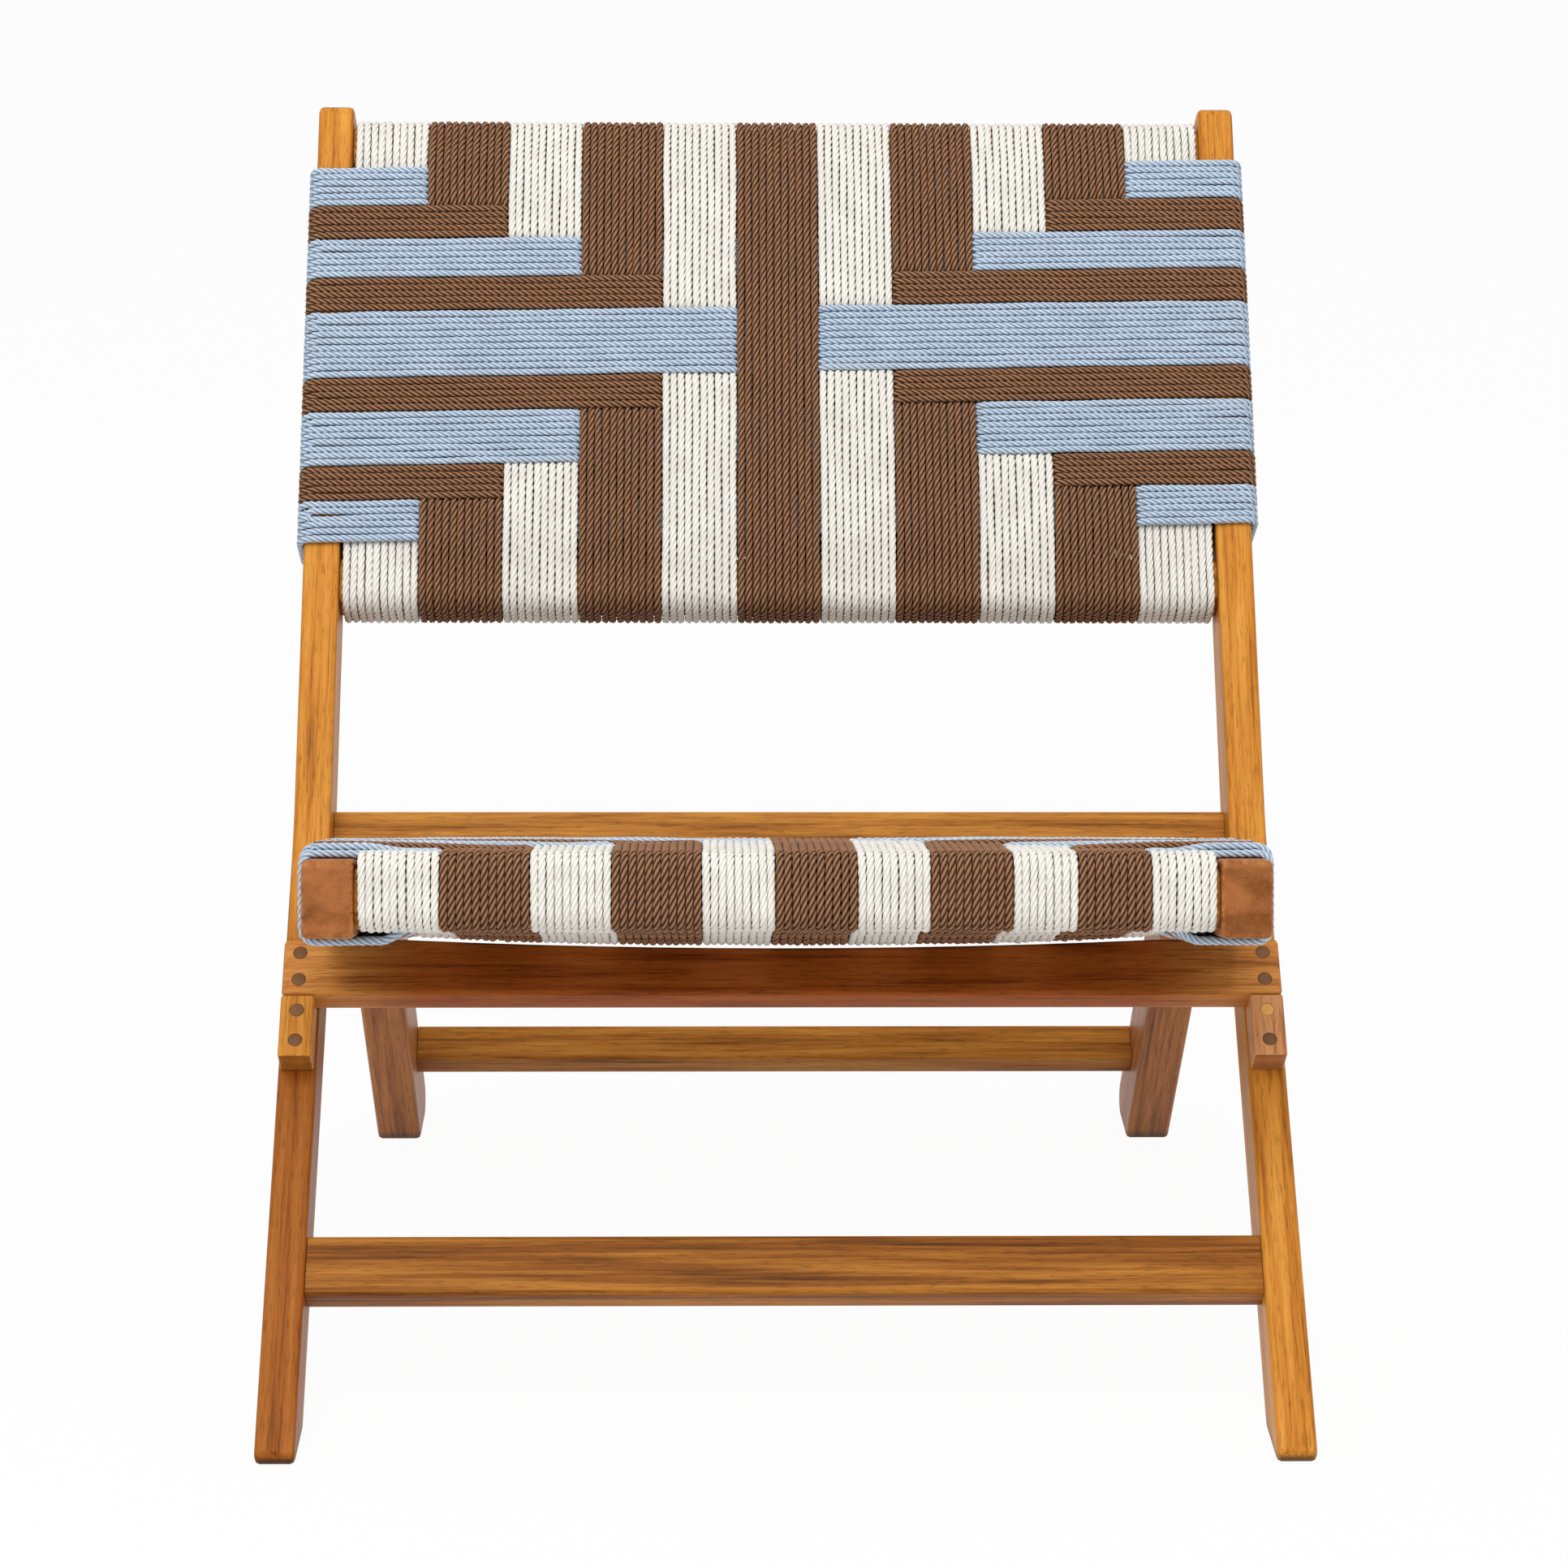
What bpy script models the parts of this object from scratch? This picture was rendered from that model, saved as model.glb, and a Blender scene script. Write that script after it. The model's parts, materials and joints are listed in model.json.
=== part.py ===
"""Low folding chair: two crossing hardwood frames with a woven rope back and seat.

The chair faces -Y and stands on Z = 0. The back frame runs from the top of the back to the front
feet. The seat frame runs from the front of the seat to the rear feet and folds on two pivot bolts.
"""

import math

import bmesh
import bpy
from mathutils import Matrix, Vector

# Driving dimensions, in metres, degrees and counts

CHAIR_WIDTH = 0.630          # over the outside of the stiles
CLEAR = 0.0003               # gap between pieces that touch
EDGE_ROUND = 0.003           # rounding of the long wooden edges

STILE_WIDTH = 0.024
STILE_DEPTH = 0.041
LEG_ANGLE = 42.1             # front leg above the floor
BACK_ANGLE = 54.7            # back above the floor
LEG_LENGTH = 0.4433          # toe to bend, along the front face
BACK_LENGTH = 0.527          # bend to top, along the front face
STILE_BEND = 0.20            # inside radius of the bend
STILE_END_ROUND = 0.007
TOE_ROUND = 0.0065
HEEL_ROUND = 0.012

PIVOT_DROP = 0.0337          # bend down to the pivot, along the front leg
PIVOT_INSET = 0.0135         # front face of the stile to the pivot
SEAT_SLOPE = 15.8            # seat falls towards the back
REAR_LEG_SLOPE = 50.6
SEAT_RAIL_WIDTH = 0.0305
SEAT_RAIL_DEPTH = 0.0463
REAR_LEG_DEPTH = 0.056
SEAT_REACH = 0.2522          # pivot to the front end of the seat rails
SEAT_BACK = 0.0503           # pivot to the bend on the underside
SEAT_BEND = 0.05             # inside radius of the bend
SEAT_END_ROUND = 0.006
REAR_TOE_ROUND = 0.005
REAR_HEEL_ROUND = 0.014
RUNNING_GAP = 0.0019         # rope on the seat rail to the stile
STOP_GAP = 0.0004            # seat to the mid rail that stops it
CROSSRAIL_GAP = 0.003        # rope under the seat to the crossrail

WRAPPED_RAIL_HEIGHT = 0.034  # rails inside the back's rope, along the stile
WRAPPED_RAIL_ROUND = 0.009
TOP_RAIL_DROP = 0.0128       # stile top to the top rail
BOTTOM_RAIL_RISE = 0.1598    # bend to the bottom rail
BOTTOM_ROW_GAP = 0.0127      # bottom rail to the first row of the back
SEAT_FRONT_RAIL_INSET = 0.006
SEAT_FRONT_RAIL_WIDTH = 0.026
SEAT_REAR_RAIL_OFFSET = 0.0303  # pivot to the rail
SEAT_REAR_RAIL_WIDTH = 0.028

MID_RAIL_TOP = 0.0204        # bend to the rail's top edge
MID_RAIL_INSET = 0.022       # stile's front face to the rail's front face
CROSSRAIL_HEIGHT = 0.040
CROSSRAIL_THICKNESS = 0.0206
CROSSRAIL_END_INSET = 0.0015
CROSSRAIL_SCOOP = 0.006      # hollow in the middle of the top edge
SCOOP_END_INSET = 0.055
BLOCK_WIDTH = 0.021
BLOCK_HEIGHT = 0.043
STRETCHER_RISE = 0.118
STRETCHER_HEIGHT = 0.039
STRETCHER_THICKNESS = 0.021
STRETCHER_INSET = 0.0035
LEG_RAIL_RISE = 0.047        # floor to the rear leg rail, along the leg
LEG_RAIL_HEIGHT = 0.022
LEG_RAIL_THICKNESS = 0.027
LEG_RAIL_BACK_INSET = 0.002
RAIL_ROUND = 0.003
TENON_LENGTH = 0.014
TENON_SHOULDER = 0.006

PEG_DIAMETER = 0.0085
PEG_DEPTH = 0.014            # peg inside the stile
PEG_PROUD = 0.0004
CROSSRAIL_PEG_SPACING = 0.019
BLOCK_PEG_SPACING = 0.021

BOLT_DIAMETER = 0.008
BOLT_HEAD_DIAMETER = 0.016
BOLT_HEAD_THICKNESS = 0.0045
NUT_DIAMETER = 0.016
NUT_THICKNESS = 0.006
NUT_BORE_DEPTH = 0.004
SPACER_DIAMETER = 0.018

ROPE_DIAMETER = 0.0048
COLUMN_GAP = 0.002
ROW_GAP = 0.002
COLUMN_EDGE = 0.003          # first column to the stile or rail beside it
BACK_COLUMN_ROPES = (10, 11, 10, 11, 10, 11, 10, 11, 10, 11, 10)
SEAT_COLUMN_ROPES = (10, 11, 10, 11, 9, 10, 9, 10, 8, 9, 8)
BACK_ROW_ROPES = (6, 5, 8, 5, 10, 5, 6, 5, 6)   # bottom row first
SEAT_ROW_ROPES = (5, 4, 5, 4, 8, 4, 5, 4, 5)    # front row first
ROW_FLOATS = (1, 2, 3, 4, 5, 4, 3, 2, 1)        # columns a row passes over, from each side

# Faceting
ROUND_STEPS = 3
ACUTE_STEPS = 5              # on the sharp corners of the feet
BEND_STEPS = 6
HOLE_STEPS = 24
PEG_STEPS = 16

# Sizes that follow from the driving ones

HALF_WIDTH = CHAIR_WIDTH / 2
STILE_INNER = HALF_WIDTH - STILE_WIDTH
SIDE_GAP = CLEAR + ROPE_DIAMETER + RUNNING_GAP
SEAT_HALF = STILE_INNER - SIDE_GAP
SEAT_INNER = SEAT_HALF - SEAT_RAIL_WIDTH
ROPE_LIFT = ROPE_DIAMETER + 2 * CLEAR
SIDES = (("left", -1), ("right", 1))

# Colours as linear values
ACACIA = (0.42, 0.17, 0.045)
DARK_WOOD = (0.16, 0.06, 0.02)
PALE_WOOD = (0.62, 0.33, 0.10)
CREAM_ROPE = (0.84, 0.81, 0.75)
BROWN_ROPE = (0.13, 0.055, 0.028)
BLUE_ROPE = (0.36, 0.51, 0.69)
STEEL = (0.55, 0.55, 0.56)
NYLON = (0.75, 0.74, 0.70)


def clear_scene():
    """Remove every object of the open scene."""
    for item in list(bpy.data.objects):
        bpy.data.objects.remove(item, do_unlink=True)


def make_material(name, colour, roughness, metallic=0.0):
    """Return a Principled material."""
    material = bpy.data.materials.new(name)
    material.use_nodes = True
    shader = material.node_tree.nodes["Principled BSDF"]
    shader.inputs["Base Color"].default_value = (*colour, 1.0)
    shader.inputs["Roughness"].default_value = roughness
    shader.inputs["Metallic"].default_value = metallic
    return material


# Frames and outlines in the chair's side plane

def side_frame(origin, angle):
    """Frame in the side plane: X runs along the angle, Y out to its left, Z to the chair's right."""
    turn = math.radians(angle)
    along = Vector((0.0, math.cos(turn), math.sin(turn)))
    out = Vector((0.0, -math.sin(turn), math.cos(turn)))
    across = Vector((1.0, 0.0, 0.0))
    frame = Matrix((along, out, across)).transposed().to_4x4()
    frame.translation = Vector((0.0, origin[0], origin[1]))
    return frame


def side_point(frame, along, out):
    """Point of a frame as (depth, height) in the side plane."""
    point = frame @ Vector((along, out, 0.0))
    return Vector((point.y, point.z))


def meeting_point(first, first_angle, second, second_angle):
    """Where two lines of the side plane cross."""
    a = Vector((math.cos(math.radians(first_angle)), math.sin(math.radians(first_angle))))
    b = Vector((math.cos(math.radians(second_angle)), math.sin(math.radians(second_angle))))
    offset = second - first
    return first + a * (offset.x * b.y - offset.y * b.x) / (a.x * b.y - a.y * b.x)


def arc_points(centre, radius, start, end, steps):
    """Points on an arc, both ends included, with angles in degrees."""
    points = []
    for index in range(steps + 1):
        turn = math.radians(start + (end - start) * index / steps)
        points.append((centre[0] + radius * math.cos(turn), centre[1] + radius * math.sin(turn)))
    return points


def rounded_outline(corners):
    """Closed outline from (corner, radius, steps), each corner rounded with an arc."""
    outline = []
    count = len(corners)
    for index, (corner, radius, steps) in enumerate(corners):
        corner = Vector(corner)
        before = (Vector(corners[index - 1][0]) - corner).normalized()
        after = (Vector(corners[(index + 1) % count][0]) - corner).normalized()
        half = before.angle(after) / 2
        centre = corner + (before + after).normalized() * radius / math.sin(half)
        start = corner + before * radius / math.tan(half) - centre
        end = corner + after * radius / math.tan(half) - centre
        first = math.degrees(math.atan2(start.y, start.x))
        sweep = -math.degrees(start.angle_signed(end))
        outline += arc_points(centre, radius, first, first + sweep, steps)
    return outline


def rounded_box(along, out, radius):
    """Outline of a rail's section from its two spans."""
    corners = ((along[0], out[0]), (along[1], out[0]), (along[1], out[1]), (along[0], out[1]))
    return rounded_outline([(corner, radius, ROUND_STEPS) for corner in corners])


# Meshes

def weld(mesh):
    """Merge the loose caps of a mesh and turn its faces outward."""
    shape = bmesh.new()
    shape.from_mesh(mesh)
    bmesh.ops.remove_doubles(shape, verts=shape.verts, dist=0.000001)
    bmesh.ops.recalc_face_normals(shape, faces=shape.faces)
    shape.to_mesh(mesh)
    shape.free()
    return mesh


def evaluated_mesh(name, data, modify=None):
    """Mesh of a passing object as Blender evaluates it."""
    holder = bpy.data.objects.new(name, data)
    bpy.context.scene.collection.objects.link(holder)
    if modify:
        modify(holder)
    depsgraph = bpy.context.evaluated_depsgraph_get()
    mesh = bpy.data.meshes.new_from_object(holder.evaluated_get(depsgraph))
    bpy.data.objects.remove(holder, do_unlink=True)
    return weld(mesh)


def outline_mesh(name, outlines, thickness):
    """Solid from flat outlines, filled and extruded evenly to both sides of local Z."""
    curve = bpy.data.curves.new(name, "CURVE")
    curve.dimensions = "2D"
    curve.fill_mode = "BOTH"
    curve.extrude = thickness / 2
    for outline in outlines:
        spline = curve.splines.new("POLY")
        spline.points.add(len(outline) - 1)
        for point, place in zip(spline.points, outline):
            point.co = (place[0], place[1], 0.0, 1.0)
        spline.use_cyclic_u = True
    mesh = evaluated_mesh(name, curve)
    bpy.data.curves.remove(curve)
    return mesh


def flatten_caps(mesh):
    """Join the triangles of flat faces, so that a bevel runs cleanly round them."""
    shape = bmesh.new()
    shape.from_mesh(mesh)
    limit = math.radians(0.1)
    bmesh.ops.dissolve_limit(shape, angle_limit=limit, verts=shape.verts, edges=shape.edges)
    shape.to_mesh(mesh)
    shape.free()
    return mesh


def prism_mesh(name, outline, thickness):
    """Solid of one outline, with whole flat ends."""
    return flatten_caps(outline_mesh(name, [outline], thickness))


def box_mesh(name, size):
    """Box about the origin."""
    mesh = bpy.data.meshes.new(name)
    shape = bmesh.new()
    bmesh.ops.create_cube(shape, size=1.0)
    bmesh.ops.scale(shape, vec=size, verts=shape.verts)
    shape.to_mesh(mesh)
    shape.free()
    return mesh


def cylinder_mesh(name, diameter, length, steps):
    """Cylinder about the origin, along Z."""
    mesh = bpy.data.meshes.new(name)
    shape = bmesh.new()
    bmesh.ops.create_cone(shape, cap_ends=True, segments=steps, radius1=diameter / 2,
                          radius2=diameter / 2, depth=length)
    shape.to_mesh(mesh)
    shape.free()
    return mesh


def turned_mesh(name, profile):
    """Turned solid from (radius, height) points, listed from the top down."""
    mesh = bpy.data.meshes.new(name)
    points = [(radius, 0.0, height) for radius, height in profile]
    edges = [(index, index + 1) for index in range(len(points) - 1)]
    mesh.from_pydata(points, edges, [])

    def spin(holder):
        screw = holder.modifiers.new("Turn", "SCREW")
        screw.steps = HOLE_STEPS
        screw.render_steps = HOLE_STEPS
        screw.use_merge_vertices = True
        screw.merge_threshold = 0.00001

    return evaluated_mesh(name, mesh, spin)


def joined_mesh(name, pieces):
    """One mesh from (mesh, matrix) pieces, which stay separate bodies."""
    shape = bmesh.new()
    for mesh, matrix in pieces:
        copy = mesh.copy()
        copy.transform(matrix)
        shape.from_mesh(copy)
        bpy.data.meshes.remove(copy)
    mesh = bpy.data.meshes.new(name)
    shape.to_mesh(mesh)
    shape.free()
    return mesh


# Objects

class Assembly:
    """Collections, parent empties and materials that the parts share."""

    def __init__(self):
        scene = bpy.context.scene.collection
        self.parts = bpy.data.collections.new("folding_rope_chair")
        self.cutters = bpy.data.collections.new("cutters")
        scene.children.link(self.parts)
        scene.children.link(self.cutters)
        self.back_frame = self.empty("back_frame", None, Vector())
        self.seat_frame = self.empty("seat_frame", self.back_frame, Vector((0.0, *PIVOT)))

    def empty(self, name, parent, place):
        """Add a parent empty."""
        item = bpy.data.objects.new(name, None)
        item.parent = parent
        item.location = place
        self.parts.objects.link(item)
        return item

    def part(self, name, mesh, material, parent, matrix):
        """Add a part at its place under its parent empty."""
        item = bpy.data.objects.new(name, mesh)
        mesh.name = name
        mesh.materials.clear()
        mesh.materials.append(material)
        item.parent = parent
        item.matrix_basis = Matrix.Translation(-parent.location) @ matrix
        self.parts.objects.link(item)
        return item

    def boolean(self, target, operation, label, pieces):
        """Cut or join a part with a hidden tool object made of separate solids."""
        name = target.name + "_" + label
        tool = bpy.data.objects.new(name, joined_mesh(name, pieces))
        tool.parent = target.parent
        tool.matrix_basis = Matrix.Translation(-target.parent.location)
        tool.hide_render = True
        tool.display_type = "WIRE"
        self.cutters.objects.link(tool)
        modifier = target.modifiers.new(label.title(), "BOOLEAN")
        modifier.operation = operation
        modifier.object = tool


def round_edges(item, width):
    """Round the sharp edges of a wooden part."""
    bevel = item.modifiers.new("Rounded edges", "BEVEL")
    bevel.width = width
    bevel.segments = 2
    bevel.limit_method = "ANGLE"
    bevel.angle_limit = math.radians(40)


# Frames of the chair's members

LEG = side_frame((0.0, 0.0), LEG_ANGLE)
BEND = side_point(LEG, LEG_LENGTH, 0.0)
BACK = side_frame(BEND, BACK_ANGLE)
BACK_MIDDLE = side_frame(side_point(BACK, 0.0, -STILE_DEPTH / 2), BACK_ANGLE)
PIVOT = side_point(LEG, LEG_LENGTH - PIVOT_DROP, -PIVOT_INSET)
SEAT_FRONT = side_point(side_frame(PIVOT, -SEAT_SLOPE), -SEAT_REACH, 0.0)
SEAT = side_frame(SEAT_FRONT, -SEAT_SLOPE)
SEAT_UNDER_BEND = side_point(SEAT, SEAT_REACH + SEAT_BACK, -SEAT_RAIL_DEPTH / 2)
REAR_LEG_ANGLE = 180.0 - REAR_LEG_SLOPE
REAR_TOE = meeting_point(SEAT_UNDER_BEND, REAR_LEG_ANGLE, Vector((0.0, 0.0)), 0.0)
REAR_LEG = side_frame(REAR_TOE, REAR_LEG_ANGLE)
SIDE = side_frame((0.0, 0.0), 0.0)
PIVOT_FRAME = side_frame(PIVOT, 0.0)

# The crossrail's top front edge lies just under the rope that is wound round the seat rails.
CROSSRAIL_FACE = CLEAR + CROSSRAIL_THICKNESS
SEAT_UNDERSIDE = -SEAT_RAIL_DEPTH / 2 - CLEAR - ROPE_DIAMETER - CROSSRAIL_GAP
CROSSRAIL_TOP = (LEG.inverted() @ Vector((0.0, *meeting_point(
    side_point(LEG, 0.0, CROSSRAIL_FACE), LEG_ANGLE,
    side_point(SEAT, 0.0, SEAT_UNDERSIDE), -SEAT_SLOPE)))).x
CROSSRAIL_BOTTOM = CROSSRAIL_TOP - CROSSRAIL_HEIGHT
BLOCK_TOP = CROSSRAIL_BOTTOM - CLEAR
STILE_CENTRE = HALF_WIDTH - STILE_WIDTH / 2


def stile_outline():
    """Side outline of a stile: toe, heel, bend and square top."""
    heel = Vector((STILE_DEPTH / math.sin(math.radians(LEG_ANGLE)), 0.0))
    back_top = side_point(BACK, BACK_LENGTH, -STILE_DEPTH)
    back_bend = meeting_point(heel, LEG_ANGLE, back_top, BACK_ANGLE)
    return rounded_outline([
        (Vector((0.0, 0.0)), TOE_ROUND, ACUTE_STEPS),
        (heel, HEEL_ROUND, ROUND_STEPS),
        (back_bend, STILE_BEND + STILE_DEPTH, BEND_STEPS),
        (back_top, STILE_END_ROUND, ROUND_STEPS),
        (side_point(BACK, BACK_LENGTH, 0.0), STILE_END_ROUND, ROUND_STEPS),
        (BEND, STILE_BEND, BEND_STEPS),
    ])


def seat_rail_outline():
    """Side outline of a seat rail and the rear leg that it bends into."""
    heel = REAR_TOE + Vector((REAR_LEG_DEPTH / math.sin(math.radians(REAR_LEG_SLOPE)), 0.0))
    top = side_point(SEAT, 0.0, SEAT_RAIL_DEPTH / 2)
    top_bend = meeting_point(top, -SEAT_SLOPE, heel, REAR_LEG_ANGLE)
    return rounded_outline([
        (side_point(SEAT, 0.0, -SEAT_RAIL_DEPTH / 2), SEAT_END_ROUND, ROUND_STEPS),
        (SEAT_UNDER_BEND, SEAT_BEND, BEND_STEPS),
        (REAR_TOE, REAR_TOE_ROUND, ROUND_STEPS),
        (heel, REAR_HEEL_ROUND, ACUTE_STEPS),
        (top_bend, SEAT_BEND + SEAT_RAIL_DEPTH, BEND_STEPS),
        (top, SEAT_END_ROUND, ROUND_STEPS),
    ])


class TenonedRail:
    """Rail between two side members, with a tenon at each end."""

    def __init__(self, name, frame, along, out, inner, outline=None, radius=RAIL_ROUND):
        self.name = name
        self.frame = frame
        self.inner = inner
        self.outline = outline or rounded_box(along, out, radius)
        self.centre = Vector(((along[0] + along[1]) / 2, (out[0] + out[1]) / 2, 0.0))
        self.section = (along[1] - along[0] - 2 * TENON_SHOULDER, out[1] - out[0] - 2 * TENON_SHOULDER)

    def end_block(self, side, start, length, play):
        """Box at one end, from a distance across the chair, with play round its section."""
        size = (self.section[0] + 2 * play, self.section[1] + 2 * play, length)
        place = self.centre + Vector((0.0, 0.0, side * (start + length / 2)))
        return box_mesh("end_block", size), self.frame @ Matrix.Translation(place)

    def mortise(self, side):
        """Cutter for the hole that takes the tenon."""
        overshoot = TENON_SHOULDER
        return self.end_block(side, self.inner - overshoot, TENON_LENGTH + CLEAR + overshoot, CLEAR)

    def build(self, chair, material, parent):
        """Add the rail."""
        body = prism_mesh(self.name, self.outline, 2 * (self.inner - CLEAR))
        rail = chair.part(self.name, body, material, parent, self.frame)
        root = self.inner - TENON_LENGTH
        tenons = [self.end_block(side, root, 2 * TENON_LENGTH, 0.0) for _, side in SIDES]
        chair.boolean(rail, "UNION", "tenons", tenons)
        return rail


def back_rails():
    """Rails between the stiles."""
    wrapped = STILE_DEPTH / 2 - ROPE_LIFT
    top = BACK_LENGTH - TOP_RAIL_DROP
    rails = []
    for name, low in (("back_top_rail", top - WRAPPED_RAIL_HEIGHT), ("back_bottom_rail", BOTTOM_RAIL_RISE)):
        rails.append(TenonedRail(name, BACK_MIDDLE, (low, low + WRAPPED_RAIL_HEIGHT), (-wrapped, wrapped),
                                 STILE_INNER, radius=WRAPPED_RAIL_ROUND))
    rails.append(mid_rail())
    stretcher_out = (-STRETCHER_INSET - STRETCHER_THICKNESS, -STRETCHER_INSET)
    rails.append(TenonedRail("front_stretcher", LEG, (STRETCHER_RISE, STRETCHER_RISE + STRETCHER_HEIGHT),
                             stretcher_out, STILE_INNER))
    return rails


def mid_rail():
    """Rail behind the seat: its underside is planed to the seat's slope and stops the seat."""
    stop = side_point(SEAT, 0.0, SEAT_RAIL_DEPTH / 2 + STOP_GAP)
    corners = [side_point(BACK, MID_RAIL_TOP, -MID_RAIL_INSET), side_point(BACK, MID_RAIL_TOP, -STILE_DEPTH)]
    for upper in reversed(corners[:2]):
        corners.append(meeting_point(upper, BACK_ANGLE, stop, -SEAT_SLOPE))
    to_frame = BACK.inverted()
    local = [(to_frame @ Vector((0.0, *corner))).xy for corner in corners]
    outline = rounded_outline([(corner, RAIL_ROUND, ROUND_STEPS) for corner in local])
    return TenonedRail("mid_rail", BACK, (local[3].x, MID_RAIL_TOP), (-STILE_DEPTH, -MID_RAIL_INSET),
                       STILE_INNER, outline=outline)


def seat_rails():
    """Rails between the seat rails and between the rear legs."""
    wrapped = SEAT_RAIL_DEPTH / 2 - ROPE_LIFT
    front = (SEAT_FRONT_RAIL_INSET, SEAT_FRONT_RAIL_INSET + SEAT_FRONT_RAIL_WIDTH)
    rear_start = SEAT_REACH + SEAT_REAR_RAIL_OFFSET
    rear = (rear_start, rear_start + SEAT_REAR_RAIL_WIDTH)
    rails = []
    for name, span in (("seat_front_rail", front), ("seat_rear_rail", rear)):
        rails.append(TenonedRail(name, SEAT, span, (-wrapped, wrapped), SEAT_INNER,
                                 radius=WRAPPED_RAIL_ROUND))
    deep = LEG_RAIL_BACK_INSET - REAR_LEG_DEPTH
    rails.append(TenonedRail("rear_leg_rail", REAR_LEG, (LEG_RAIL_RISE, LEG_RAIL_RISE + LEG_RAIL_HEIGHT),
                             (deep, deep + LEG_RAIL_THICKNESS), SEAT_INNER))
    return rails


def outward(frame, along, side):
    """Frame for a peg: Z runs out of the leg's front face."""
    turn = Matrix.Rotation(math.radians(-90.0), 4, "X")
    return frame @ Matrix.Translation((along, 0.0, side * STILE_CENTRE)) @ turn


def peg_places(centre, spacing):
    """Heights of the two pegs of a pair."""
    return (centre - spacing / 2, centre + spacing / 2)


CROSSRAIL_PEGS = peg_places(CROSSRAIL_TOP - CROSSRAIL_HEIGHT / 2, CROSSRAIL_PEG_SPACING)
BLOCK_PEGS = peg_places(BLOCK_TOP - BLOCK_HEIGHT / 2, BLOCK_PEG_SPACING)


def peg_piece(along, side, start, end, play):
    """Peg, or the cutter for its hole, between two distances from the leg's front face."""
    shape = cylinder_mesh("peg", PEG_DIAMETER + 2 * play, end - start, PEG_STEPS)
    return shape, outward(LEG, along, side) @ Matrix.Translation((0.0, 0.0, (start + end) / 2))


def peg_holes(heights, side):
    """Cutters for the holes of a stile and of what is pegged to it."""
    end = CROSSRAIL_FACE + PEG_DEPTH
    return [peg_piece(along, side, -PEG_DEPTH - CLEAR, end, CLEAR) for along in heights]


def pivot_piece(mesh, across, side):
    """Place a turned piece on the pivot, its Z towards the chair's outside."""
    turn = Matrix.Rotation(math.pi, 4, "Y") if side < 0 else Matrix.Identity(4)
    return mesh, PIVOT_FRAME @ turn @ Matrix.Translation((0.0, 0.0, across))


def pivot_bore(side, start, end, sink_start, sink_end, sink_diameter):
    """Cutter for a bolt hole with a sinking for the head or the nut."""
    hole = cylinder_mesh("bore", BOLT_DIAMETER + 4 * CLEAR, end - start, HOLE_STEPS)
    sink = cylinder_mesh("sink", sink_diameter + 4 * CLEAR, sink_end - sink_start, HOLE_STEPS)
    return [pivot_piece(hole, (start + end) / 2, side), pivot_piece(sink, (sink_start + sink_end) / 2, side)]


def build_stiles(chair, wood, rails):
    """Add the stiles, with their mortises, peg holes and pivot bores."""
    outline = stile_outline()
    sink = BOLT_HEAD_THICKNESS + 2 * CLEAR
    for word, side in SIDES:
        place = SIDE @ Matrix.Translation((0.0, 0.0, side * STILE_CENTRE))
        stile = chair.part(word + "_stile", prism_mesh("stile", outline, STILE_WIDTH), wood,
                           chair.back_frame, place)
        round_edges(stile, EDGE_ROUND)
        cuts = [rail.mortise(side) for rail in rails]
        cuts += peg_holes(CROSSRAIL_PEGS + BLOCK_PEGS, side)
        chair.boolean(stile, "DIFFERENCE", "holes", cuts)
        bore, head = pivot_bore(side, STILE_INNER - sink, HALF_WIDTH - sink / 2, HALF_WIDTH - sink,
                                HALF_WIDTH + sink, BOLT_HEAD_DIAMETER)
        chair.boolean(stile, "DIFFERENCE", "bore", [bore])
        chair.boolean(stile, "DIFFERENCE", "sinking", [head])


def build_seat_rails(chair, wood, rails):
    """Add the seat rails with their rear legs, mortises and pivot bores."""
    outline = seat_rail_outline()
    sink = NUT_THICKNESS + 2 * CLEAR
    centre = SEAT_HALF - SEAT_RAIL_WIDTH / 2
    for word, side in SIDES:
        place = SIDE @ Matrix.Translation((0.0, 0.0, side * centre))
        rail = chair.part(word + "_seat_rail", prism_mesh("seat_rail", outline, SEAT_RAIL_WIDTH), wood,
                          chair.seat_frame, place)
        round_edges(rail, EDGE_ROUND)
        chair.boolean(rail, "DIFFERENCE", "holes", [piece.mortise(side) for piece in rails])
        bore, nut = pivot_bore(side, SEAT_INNER + sink / 2, SEAT_HALF + sink, SEAT_INNER - sink,
                               SEAT_INNER + sink, NUT_DIAMETER)
        chair.boolean(rail, "DIFFERENCE", "bore", [bore])
        chair.boolean(rail, "DIFFERENCE", "sinking", [nut])


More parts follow.
